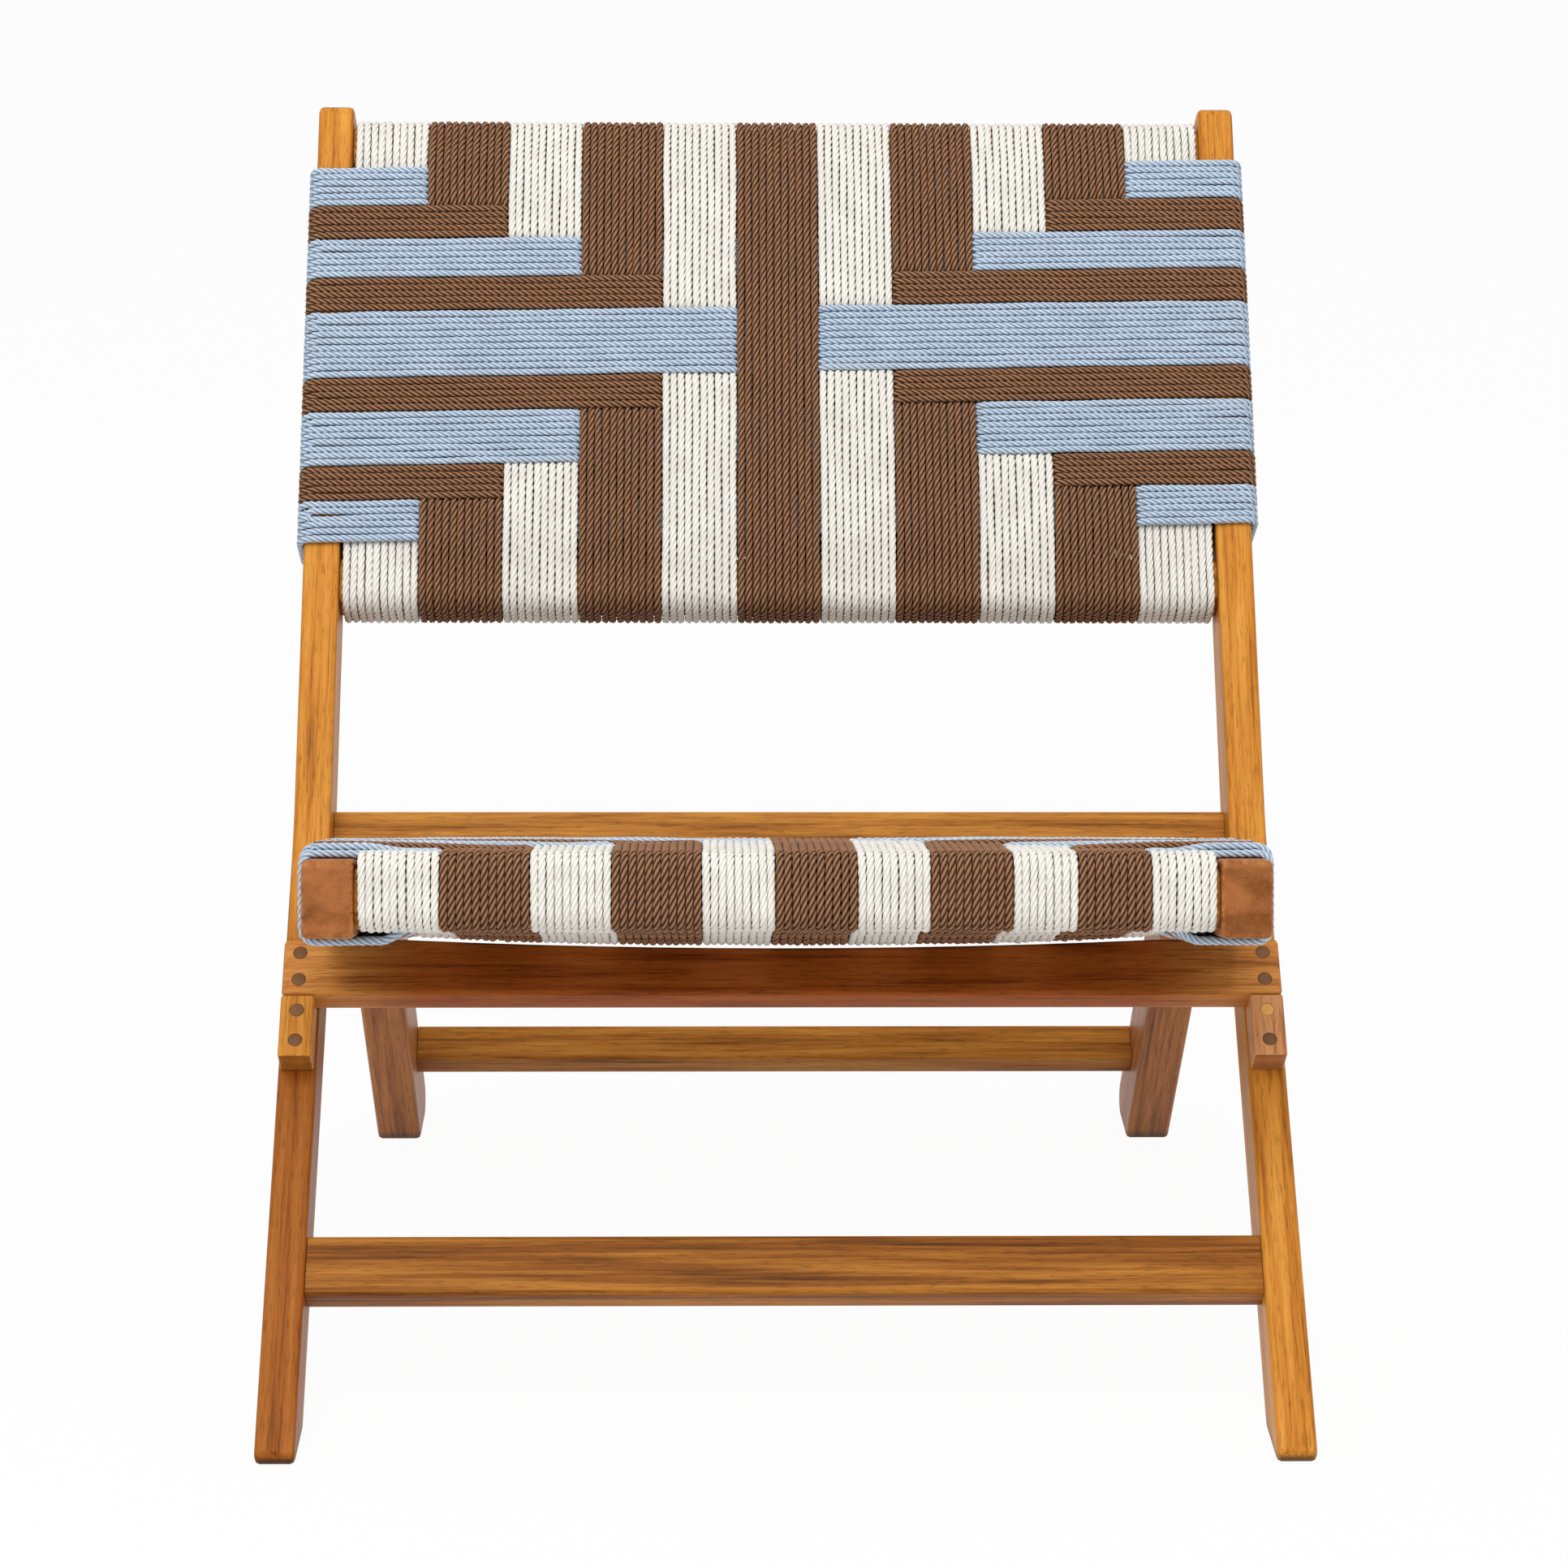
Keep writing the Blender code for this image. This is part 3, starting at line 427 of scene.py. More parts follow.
@dataclass(frozen=True)
class TimberFinish:
    """Oiled hardwood, planed and sanded, with long streaks along the grain."""

    name: str
    dark: str  # colour of the dark streaks
    middle: str  # main colour
    light: str  # colour of the pale streaks
    end: str  # colour of sawn end grain
    streak_mm: Pair = (7.0, 170.0)  # width and length of the main streaks
    fine_times: Pair = (4.0, 2.0)  # how many times narrower and shorter the fine streaks are
    fine_share: float = 0.38  # share of the fine streaks in the figure
    stops: Triple = (0.34, 0.47, 0.64)  # figure at which the colour is dark, middle and light
    pore_mm: Pair = (0.8, 11.0)  # width and length of open pores, drawn wider than real so that they show
    pores: Pair = (0.30, 0.40)  # noise from an open pore to the plain face
    pore_shade: float = 0.72  # brightness of an open pore
    pore_bump: Pair = (0.25, 0.0002)  # strength and depth of the pores
    sawn: Pair = (0.75, 0.97)  # squareness to the grain from planed face to sawn end
    sawn_share: float = 0.75  # share of the end's colour on a sawn end
    ring_mm: float = 22.0  # size of the patches on end grain
    ring_squeeze: Triple = (0.4, 1.0, 1.0)  # how the patches are drawn out across the chair
    rings: Pair = (0.36, 0.6)  # noise from a dark patch to a plain one
    roughness: float = 0.42
    specular: float = 0.2
    oil_tint: str = "#F2D9B8"  # colour of the oil's gloss
    oil_ior: float = 1.47

    def material(self, grain: Grain, offset: float, stains_and_shades: tuple[StainAndShade, ...] = ()) -> Material:
        """Build the material: satin oil over streaks, pores and darker end grain.

        Args:
            grain: How the grain runs.
            offset: Distance that shifts the pattern, so that no two boards match.
            stains_and_shades: Stretches of the board that differ in colour: real stains, and painted shade.

        Returns:
            The material.
        """
        material, tree = new_material(self.name)
        coords = add_node(tree, "ShaderNodeTexCoord").outputs
        board, direction = grain.nodes(tree, coords["Object"], offset)

        def streaks(width_mm: float, length_mm: float, detail: float) -> Node:
            """Add noise that is drawn out along the grain.

            Args:
                width_mm: Width of a streak.
                length_mm: Length of a streak.
                detail: How much finer noise is added.

            Returns:
                Node of the noise.
            """
            stretch = add_node(tree, "ShaderNodeVectorMath", {
                0: board, 1: (1.0, width_mm / length_mm, 1.0)}, operation="MULTIPLY")
            return add_node(tree, "ShaderNodeTexNoise", {
                "Vector": stretch, "Scale": MM / width_mm, "Detail": detail,
                "Roughness": 0.6, "Distortion": 0.4})

        broad = streaks(*self.streak_mm, 3.0)
        fine = streaks(*(size / times for size, times in zip(self.streak_mm, self.fine_times)), 2.0)
        figure = add_node(tree, "ShaderNodeMix", {0: self.fine_share, 2: broad, 3: fine}, data_type="FLOAT")
        ramp = add_node(tree, "ShaderNodeValToRGB", {"Fac": figure})
        stops = ramp.color_ramp.elements
        stops[0].position, stops[0].color = self.stops[0], linear(self.dark)
        stops[1].position, stops[1].color = self.stops[2], linear(self.light)
        stops.new(self.stops[1]).color = linear(self.middle)
        pores = add_node(tree, "ShaderNodeMapRange", {
            "Value": streaks(*self.pore_mm, 0.0), "From Min": self.pores[0], "From Max": self.pores[1],
            "To Min": self.pore_shade})
        grained = add_node(tree, "ShaderNodeVectorMath", {0: ramp, 1: pores}, operation="MULTIPLY")
        facing = add_node(tree, "ShaderNodeVectorMath", {
            0: coords["Normal"], 1: direction}, operation="DOT_PRODUCT")
        square = add_node(tree, "ShaderNodeMath", {0: facing}, operation="ABSOLUTE")
        ends = add_node(tree, "ShaderNodeMapRange", {
            "Value": square, "From Min": self.sawn[0], "From Max": self.sawn[1], "To Max": self.sawn_share})
        squeezed = add_node(tree, "ShaderNodeVectorMath", {
            0: coords["Object"], 1: self.ring_squeeze}, operation="MULTIPLY")
        rings = add_node(tree, "ShaderNodeTexNoise", {
            "Vector": squeezed, "Scale": MM / self.ring_mm, "Detail": 3.0, "Distortion": 0.5})
        share = add_node(tree, "ShaderNodeMapRange", {
            "Value": rings, "From Min": self.rings[0], "From Max": self.rings[1]})
        ringed = add_node(tree, "ShaderNodeMix", {
            0: share, 6: linear(self.dark), 7: linear(self.end)}, data_type="RGBA")
        colour = add_node(tree, "ShaderNodeMix", {0: ends, 6: grained, 7: ringed}, data_type="RGBA")
        # Real stains, and painted shade where another part shades the board, multiply the colour.
        for patch in stains_and_shades:
            colour = patch.over(tree, coords["Object"], colour)
        strength, depth = self.pore_bump
        bump = add_node(tree, "ShaderNodeBump", {"Height": pores, "Strength": strength, "Distance": depth})
        shader = add_node(tree, "ShaderNodeBsdfPrincipled", {
            "Base Color": colour, "Roughness": self.roughness, "IOR": self.oil_ior, "Normal": bump,
            "Specular IOR Level": self.specular, "Specular Tint": linear(self.oil_tint)})
        add_node(tree, "ShaderNodeOutputMaterial", {"Surface": shader})
        return material


@dataclass(frozen=True)
class PlainFinish:
    """One even material, such as plated steel or moulded nylon."""

    name: str
    colour: str
    roughness: float
    metallic: float = 0.0
    grit_mm: float = 1.2  # size of the fine unevenness in the gloss
    grit: Pair = (0.8, 1.2)  # least and greatest share of the roughness

    def material(self) -> Material:
        """Build the material: an even colour whose gloss is broken by fine grit.

        Returns:
            The material.
        """
        material, tree = new_material(self.name)
        place = add_node(tree, "ShaderNodeTexCoord").outputs["Object"]
        grit = add_node(tree, "ShaderNodeTexNoise", {"Vector": place, "Scale": MM / self.grit_mm})
        gloss = add_node(tree, "ShaderNodeMapRange", {
            "Value": grit, "To Min": self.roughness * self.grit[0], "To Max": self.roughness * self.grit[1]})
        shader = add_node(tree, "ShaderNodeBsdfPrincipled", {
            "Base Color": linear(self.colour), "Metallic": self.metallic, "Roughness": gloss})
        add_node(tree, "ShaderNodeOutputMaterial", {"Surface": shader})
        return material


# Rope: cream, brown and light blue yarn, each with its strand colour, painted shade in the grooves between
# the strands, and painted shade where ropes touch.
ROPE_FINISHES = {
    RopeColour.CREAM: RopeFinish("cream_twisted_rope", "#F2EFE8", "#E6E1D6", "#C4BDAE"),
    RopeColour.BROWN: RopeFinish("brown_twisted_rope", "#A07353", "#2A160A", "#0B0502"),
    RopeColour.BLUE: RopeFinish("light_blue_twisted_rope", "#CAD7E5", "#879EB7", "#45566B"),
}

# Oiled acacia varies from board to board: golden stiles, red-brown rails.
GOLDEN_ACACIA = TimberFinish("oiled_acacia_golden", "#995719", "#CA802A", "#DE9941", "#62391A")
BROWN_ACACIA = TimberFinish("oiled_acacia_brown", "#70400F", "#A76621", "#C78736", "#804D2A")
DARK_ACACIA = TimberFinish("oiled_acacia_dark", "#512A0B", "#8A4E16", "#B7772D", "#6F4222", (9.0, 260.0))
RED_ACACIA = TimberFinish("oiled_acacia_red", "#70401E", "#A56332", "#C17E44", "#A26339")
TAN_ACACIA = TimberFinish("oiled_acacia_tan", "#9C6238", "#CF8B58", "#DFA06A", "#62391A")
AMBER_ACACIA = TimberFinish("oiled_acacia_amber", "#955726", "#C97E3A", "#DA964B", "#62391A")

# Pegs of plain hardwood with little figure, dark brown or pale as straw.
PEG_FINISHES = {
    PegKind.DARK: TimberFinish("dark_hardwood_peg", "#6C4930", "#795331", "#8B623F", "#8F6545"),
    PegKind.PALE: TimberFinish("pale_hardwood_peg", "#CD8D48", "#D8984D", "#E5A85B", "#E5A85B"),
}

# Bright zinc plate on the pivot bolts, and milky moulded nylon between the frames.
ZINC_STEEL = PlainFinish("zinc_plated_steel", "#B9BABC", 0.32, 1.0)
NYLON = PlainFinish("moulded_nylon", "#DCD9CF", 0.45)


# Rope


@dataclass(frozen=True)
class MemberFrame:
    """Frame of a flat member: X across the chair, along its length, and out of its upper face."""

    origin: Triple  # start of the member's middle line
    slope_deg: float  # angle of the member above the floor, seen from the chair's right

    def points(self, across: Array, along: Array, out: Array) -> Array:
        """Place points of the member in the chair's frame.

        Args:
            across: Distances to the chair's right.
            along: Distances along the member.
            out: Distances out of its face.

        Returns:
            One row of X, Y and Z for each point.
        """
        direction = slope(self.slope_deg)
        return (np.array(self.origin) + np.outer(across, (1.0, 0.0, 0.0)) + np.outer(along, direction)
                + np.outer(out, square_to(direction)))


@dataclass
class LaidRope:
    """Strands twisted together, laid along any route by a Geometry Nodes tree."""

    strands: int = 4
    ridge_radius: float = 0.00272  # radius over the strands
    groove_radius: float = 0.0020  # radius in the grooves between them
    steps: int = 7  # rings in one turn of the strands
    tree: Tree = field(init=False)
    materials: dict[RopeColour, Material] = field(init=False)

    def __post_init__(self) -> None:
        """Build the tree and the rope materials."""
        self.tree = self.laying_tree()
        self.materials = {colour: finish.material() for colour, finish in ROPE_FINISHES.items()}

    def laying_tree(self) -> Tree:
        """Build the tree: a lobed section swept along the route and turned with the lay.

        Returns:
            The tree.
        """
        tree, given = new_tree("laid_rope", {
            "Strands": "Int", "Lay": "Float", "Step": "Float", "Ridge Radius": "Float",
            "Groove Radius": "Float"})
        route = add_node(tree, "GeometryNodeResampleCurve", {
            "Curve": given["Geometry"], "Length": given["Step"]}, mode="LENGTH")
        travelled = add_node(tree, "GeometryNodeSplineParameter").outputs["Length"]
        turns = add_node(tree, "ShaderNodeMath", {0: travelled, 1: given["Lay"]}, operation="DIVIDE")
        angle = add_node(tree, "ShaderNodeMath", {0: turns, 1: math.tau}, operation="MULTIPLY")
        twisted = add_node(tree, "GeometryNodeSetCurveTilt", {"Curve": route, "Tilt": angle})
        section = add_node(tree, "GeometryNodeCurveStar", {
            "Points": given["Strands"], "Inner Radius": given["Groove Radius"],
            "Outer Radius": given["Ridge Radius"], "Twist": 0.0})
        ridges = section.outputs["Outer Points"]
        depth = add_node(tree, "ShaderNodeMath", {0: 1.0, 1: ridges}, operation="SUBTRACT")
        marked = add_node(tree, "GeometryNodeStoreNamedAttribute", {
            "Geometry": section, "Name": "groove", "Value": depth}, data_type="FLOAT", domain="POINT")
        swept = add_node(tree, "GeometryNodeCurveToMesh", {
            "Curve": twisted, "Profile Curve": marked, "Fill Caps": True})
        split = add_node(tree, "GeometryNodeTriangulate", {"Mesh": swept}, quad_method="SHORTEST_DIAGONAL")
        faces = add_node(tree, "GeometryNodeSetShadeSmooth", {0: split}, domain="FACE")
        edges = add_node(tree, "GeometryNodeSetShadeSmooth", {0: faces}, domain="EDGE")
        return end_tree(tree, edges, given["Material"])

    def lay(self, name: str, route: Array, colour: RopeColour, turn: float) -> Piece:
        """Lay one rope along a route.

        Args:
            name: Name of the piece.
            route: Points of its centre line.
            colour: Colour of the rope.
            turn: Length of one full turn of the strands.

        Returns:
            The rope as a mesh object.
        """
        data = bpy.data.curves.new(name + "_route", "CURVE")
        data.dimensions = "3D"
        spline = data.splines.new("POLY")
        spline.points.add(len(route) - 1)
        spline.points.foreach_set("co", np.column_stack((route, np.ones(len(route)))).ravel())
        mesh = grown_mesh(show(name + "_route", data), self.tree, {
            "Strands": self.strands, "Lay": turn, "Step": turn / self.steps,
            "Ridge Radius": self.ridge_radius, "Groove Radius": self.groove_radius,
            "Material": self.materials[colour]})
        return show(name, mesh)


@dataclass(frozen=True)
class Slope:
    """Place where a wound rope changes its height."""

    place: float  # middle of the slope, along the run
    gain: float  # height gained
    length: float


@dataclass(frozen=True)
class FaceRun:
    """Height of a wound rope along one face of a panel."""

    start: float  # height over the middle plane at the start of the run
    slopes: tuple[Slope, ...]  # changes of height along the run

    def height(self, run: Array) -> Array:
        """Find the height of the rope over the middle plane.

        Args:
            run: Places along the run.

        Returns:
            The height at each place.
        """
        height = np.full_like(run, self.start)
        for change in self.slopes:
            height += change.gain * smooth_step((run - change.place) / change.length + 0.5)
        return height


@dataclass(frozen=True)
class Winding:
    """One rope wound in side-by-side turns round two members.

    The rope runs along the upper face from low to high, over the far member, back along the lower
    face and over the near member. It moves over by one turn on the lower face.
    """

    low: float  # start of the straight run
    high: float  # end of the straight run
    upper: FaceRun
    lower: FaceRun
    radius: float  # radius of the end arcs
    span: Pair  # edges of the band's share, across the run
    gap: float  # gap to the next band
    turns: int
    shift: Pair = (0.46, 0.54)  # shares of the lower run between which the rope moves over

    @property
    def pitch(self) -> float:
        """Distance between turns."""
        return (self.span[1] - self.span[0] - self.gap) / self.turns

    def end_wrap(self, high_end: bool) -> Array:
        """Find points of the rope over one member, in the direction in which it is wound.

        Args:
            high_end: True for the member at the high end.

        Returns:
            Rows of run and height.
        """
        place = np.array([self.high if high_end else self.low])
        top, bottom = self.upper.height(place)[0] - self.radius, self.lower.height(place)[0] + self.radius
        steps = max(MIN_ARC_STEPS, int(self.radius * math.pi / 2.0 / RUN_STEP))
        turn = np.linspace(math.pi / 2.0, 0.0, steps)
        corner = self.radius * np.column_stack((np.cos(turn), np.sin(turn)))
        flat = np.linspace(top, bottom, FLAT_STEPS)[1:-1]
        middle = np.column_stack((np.full(len(flat), self.radius), flat))
        over = np.vstack((corner + (0.0, top), middle, corner[::-1] * (1.0, -1.0) + (0.0, bottom)))
        if high_end:
            return over + (self.high, 0.0)
        return over[::-1] * (-1.0, 1.0) + (self.low, 0.0)

    def route(self) -> Array:
        """Find the whole route of the rope.

        Returns:
            Rows of run, place across the run, height and number of the turn.
        """
        run = np.linspace(self.low, self.high, int((self.high - self.low) / RUN_STEP))
        front = np.column_stack((run, np.zeros_like(run), self.upper.height(run)))
        share = (self.high - run[::-1]) / (self.high - self.low)
        start, end = self.shift
        moved = smooth_step((share - start) / (end - start))
        rear = np.column_stack((run[::-1], moved, self.lower.height(run[::-1])))
        far = np.insert(self.end_wrap(True), 1, 0.0, axis=1)
        near = np.insert(self.end_wrap(False), 1, 1.0, axis=1)
        turns = [(-1, [rear[share > end], near])]
        turns += [(turn, [front, far, rear, near]) for turn in range(self.turns - 1)]
        turns.append((self.turns - 1, [front, far, rear[share < start]]))
        pieces = []
        for turn, parts in turns:
            loop = np.vstack(parts) + (0.0, turn, 0.0)
            pieces.append(np.column_stack((loop, np.full(len(loop), max(turn, 0)))))
        route = np.vstack(pieces)
        first = (self.span[0] + self.span[1] - self.pitch * (self.turns - 1)) / 2.0
        route[:, 1] = first + route[:, 1] * self.pitch
        return route


@dataclass(frozen=True)
class Slack:
    """Small wandering of hand-wound rope."""

    across: float = 0.00020  # largest sideways wander
    out: float = 0.00025  # largest wander out of the face
    wave: float = 0.09  # typical length of a wave
    spread: Pair = (0.5, 2.2)  # shortest and longest wave, as shares of that length
    waves: int = 4  # number of waves that are added up

    def wander(self, route: Array, rng: np.random.Generator) -> Array:
        """Move a route by slow random waves.

        Args:
            route: Rows of run, place across, height and turn.
            rng: Source of the random waves.

        Returns:
            The moved route.
        """
        steps = np.linalg.norm(np.diff(route[:, :3], axis=0), axis=1)
        travelled = np.concatenate(([0.0], np.cumsum(steps)))
        moved = route.copy()
        for axis, reach in ((1, self.across), (2, self.out)):
            total = np.zeros(len(route))
            for _ in range(self.waves):
                length = self.wave * rng.uniform(*self.spread)
                total += np.sin(travelled / length * math.tau + rng.uniform(0.0, math.tau))
            moved[:, axis] += reach * total / math.sqrt(self.waves)
        return moved


@dataclass(frozen=True)
class Settling:
    """How a panel's rope has settled. Shares are of the panel's length, from its first rail."""

    crown: float = 0.0  # height by which the middle of the upper face swells
    crown_rise: float = 0.3  # share over which the crown rises
    crown_fall: Pair = (0.74, 0.22)  # share at which the crown has gone, and over which it goes
    belly: float = 0.0  # depth by which the middle of the lower face hangs
    belly_rise: Pair = (0.25, 0.4)  # share at which the belly starts, and over which it grows
    belly_fall: float = 0.25  # share over which it goes, up to the last rail
    edge_play: float = 0.0005  # largest shift of a turn where a row bends round a side member
    edge_inset: float = 0.012  # side member's outer face to the place of that shift
    edge_reach: float = 0.022  # length over which the shift fades
    loose_row: int | None = None  # row whose turns lie apart on the left, or None
    loose_play: float = 0.0011  # largest shift of its turns
    piled_row: int | None = None  # row whose turns lie on each other over the side members, or None
    piled_lift: float = 0.85  # share of a rope's diameter by which every other turn of it lies up
    piled_draw: float = 0.45  # share of their pitch by which its turns draw together
    pile: float = 0.0  # height by which the other rows lie up on the side members
    pile_fade: int = 4  # power by which that height goes, towards the last row
    lean: Pair = (0.0, 0.0)  # rise of the first and the last row, from the middle to the right side


@dataclass
class WovenPanel:
    """Rope columns round two rails, interlaced with rope rows round two side members."""

    word: str  # first word of the panel's CAD nodes
    body: Body
    frame: MemberFrame  # frame of the panel's middle plane
    half_depth: float  # half the depth of the side members
    side_half: float  # half the width over the side members
    inner_half: float  # half the width between them
    rails: Pair  # outer edges of the two rails, along the panel
    rows: Pair  # start and end of the rows, along the panel
    column_ropes: tuple[int, ...]  # turns in each column, from left to right
    row_ropes: tuple[int, ...]  # turns in each row, in order along the panel
    seed: int  # first seed of the small wandering
    settling: Settling
    floats: tuple[int, ...] = (1, 2, 3, 4, 5, 4, 3, 2, 1)  # columns that each row passes over, from a side
    fullness: Pair = (0.0, 0.0)  # height of the rope over the first rail, on the upper and the lower face
    lower_ease: Pair = (0.0, 0.03)  # places between which the lower face comes down to the rows
    lower_woven: bool = True  # True where the rows also show on the lower face
    column_shift: Pair = (0.46, 0.54)  # shares of a column's lower run between which it moves over
    rail_round: float = 0.009  # rounding of the rails
    edge_round: float = 0.0045  # rounding of the side members, as the stiff rope follows it
    band_gap: float = 0.002  # gap between two bands in the CAD part
    column_gap: float = 0.0005  # gap that shows between two columns
    row_gap: float = 0.0008  # gap that shows between two rows
    column_edge: float = 0.003  # first column to the side member
    crossing: float = 0.010  # length over which a rope passes from over to under
    column_lay: float = 0.0216  # length of one turn of the strands in the columns
    row_lay: float = 0.0184  # length of one turn of the strands in the rows
    slack: Slack = Slack()

    @staticmethod
    def spans(start: float, end: float, ropes: tuple[int, ...]) -> list[Pair]:
        """Share a width out among bands.

        Args:
            start: Start of the width.
            end: End of the width.
            ropes: Ropes in each band.

        Returns:
            Start and end of each band's share.
        """
        edges = start + (end - start) / sum(ropes) * np.concatenate(([0], np.cumsum(ropes)))
        return list(zip(edges[:-1], edges[1:]))

    def column_spans(self) -> list[Pair]:
        """Left and right edge of each column's share."""
        half = self.inner_half - self.column_edge + self.band_gap / 2.0
        return self.spans(-half, half, self.column_ropes)

    def row_spans(self) -> list[Pair]:
        """Near and far edge of each row's share."""
        return self.spans(*self.rows, self.row_ropes)

    def lean(self, across: Array | float, along: Array | float) -> Array | float:
        """Find how far the rows are shifted along the panel.

        Args:
            across: Places across the panel.
            along: Places along it.

        Returns:
            The shift at each place.
        """
        share = (along - self.rows[0]) / (self.rows[1] - self.rows[0])
        first, last = self.settling.lean
        return across / self.side_half * (first + (last - first) * share)

    def raised(self, index: int, side: int) -> float:
        """Find the height over the rails' level of a column that passes over a row.

        Args:
            index: Triple of the row, along the panel.
            side: 1 for the upper face, -1 for the lower one.

        Returns:
            The height, measured out of that face.
        """
        start, end = self.row_spans()[index]
        fullness = self.fullness[0 if side > 0 else 1]
        begin, finish = (self.rails[0], self.rows[0]) if side > 0 else self.lower_ease
        share = ((start + end) / 2.0 - begin) / (finish - begin)
        return fullness + (ROPE_LIFT - fullness) * float(smooth_step(share))

    def column_face(self, index: int, side: int) -> FaceRun:
        """Find the height of one column along one face.

        Args:
            index: Triple of the column, from the left.
            side: 1 for the upper face, -1 for the lower one.

        Returns:
            The run from rail to rail.
        """
        rank = min(index, len(self.column_ropes) - 1 - index) + 1
        low, high = self.rails[0] + self.rail_round, self.rails[1] - self.rail_round
        across = sum(self.column_spans()[index]) / 2.0
        ends = [end + self.lean(across, end) for _, end in self.row_spans()[:-1]]
        places = [(low + self.rows[0]) / 2.0, *ends, (self.rows[1] + high) / 2.0]
        lengths = [self.rows[0] - low, *[self.crossing] * (len(self.floats) - 1), high - self.rows[1]]
        heights = [self.fullness[0 if side > 0 else 1]]
        for row, floats in enumerate(self.floats):
            over = self.raised(row, side)
            on_top = rank > floats or (side < 0 and not self.lower_woven)
            heights.append(over if on_top else min(0.0, over))
        heights.append(0.0)
        slopes = tuple(
            Slope(place, side * (after - before), length)
            for place, length, before, after in zip(places, lengths, heights[:-1], heights[1:])
        )
        return FaceRun(side * (self.half_depth - ROPE_LIFT + ROPE_REACH + heights[0]), slopes)

    def row_face(self, index: int, side: int) -> FaceRun:
        """Find the height of one row along one face.

        Args:
            index: Triple of the row, along the panel.
            side: 1 for the upper face, -1 for the lower one.

        Returns:
            The run from side to side.
        """
        columns, floats = self.column_spans(), self.floats[index]
        inner, outer = columns[floats - 1][1], columns[-floats][0]
        if side < 0 and not self.lower_woven:
            inner, outer = (sum(columns[place]) / 2.0 for place in (0, -1))
        dip = 2.0 * ROPE_LIFT - self.raised(index, side)
        length = self.crossing * dip / ROPE_LIFT
        slopes = (Slope(inner, -side * dip, length), Slope(outer, side * dip, length))
        return FaceRun(side * (self.half_depth + ROPE_REACH), slopes)

    def column(self, index: int) -> Winding:
        """Wind one column.

        Args:
            index: Place of the column, from the left.

        Returns:
            The winding, which runs along the panel.
        """
        return Winding(self.rails[0] + self.rail_round, self.rails[1] - self.rail_round,
                       self.column_face(index, 1), self.column_face(index, -1),
                       self.rail_round + ROPE_REACH, self.column_spans()[index], self.column_gap,
                       self.column_ropes[index], self.column_shift)

    def row(self, index: int) -> Winding:
        """Wind one row.

        Args:
            index: Place of the row, along the panel.

        Returns:
            The winding, which runs across the panel.
        """
        return Winding(self.edge_round - self.side_half, self.side_half - self.edge_round,
                       self.row_face(index, 1), self.row_face(index, -1),
                       self.edge_round + ROPE_REACH, self.row_spans()[index], self.row_gap,
                       self.row_ropes[index])

    def uneven_edges(self, route: Array, index: int, rng: np.random.Generator) -> Array:
        """Shift a row's turns a little where they bend round the side members.

        Args:
            route: Rows of place across the panel, along it, height and turn.
            index: Triple of the row.
            rng: Source of the random shifts.

        Returns:
            The shifted route.
        """
        settling, moved = self.settling, route.copy()
        across, turn = route[:, 0], route[:, 3].astype(int)
        upper = smooth_step(route[:, 2] / self.half_depth)
        moved[:, 1] += self.lean(across, route[:, 1])
        for side in (-1.0, 1.0):
            loose = index == settling.loose_row and side < 0.0
            play = settling.loose_play if loose else settling.edge_play
            from_bend = self.side_half - settling.edge_inset - side * across
            near = np.exp(-((from_bend / settling.edge_reach) ** 2))
            moved[:, 1] += near * play * rng.uniform(-1.0, 1.0, turn.max() + 1)[turn]
            if index == settling.piled_row:
                past = (side * across - self.inner_half) / (self.side_half - self.inner_half)
                over = upper * smooth_step(past + 1.0)
                moved[:, 2] += over * ROPE_DIAMETER * settling.piled_lift * (turn % 2)
                moved[:, 1] -= over * turn * self.row(index).pitch * settling.piled_draw
            else:
                inner = self.column_spans()[-self.floats[index]][0]
                pile = settling.pile * (1.0 - (index / (len(self.floats) - 1)) ** settling.pile_fade)
                past = (side * across - inner) / (self.inner_half - inner)
                moved[:, 2] += upper * pile * np.clip(past, 0.0, 1.0)
        return moved

    def settled(self, across: Array, along: Array, out: Array) -> Array:
        """Lift the middle of the upper face and lower that of the lower one.

        Args:
            across: Places across the panel.
            along: Places along the panel.
            out: Distances out of its middle plane.

        Returns:
            The settled distances out of it.
        """
        settling = self.settling
        aside = np.clip(np.abs(across) / self.inner_half, 0.0, 1.0)
        share = np.clip((along - self.rails[0]) / (self.rails[1] - self.rails[0]), 0.0, 1.0)
        gone, length = settling.crown_fall
        swell = (1.0 - aside ** 2) * smooth_step(share / settling.crown_rise)
        swell *= smooth_step((gone - share) / length)
        start, length = settling.belly_rise
        hang = (1.0 - aside ** 3) * smooth_step((share - start) / length)
        hang *= smooth_step((1.0 - share) / settling.belly_fall)
        return out + np.where(out > 0.0, settling.crown * swell, -settling.belly * hang)

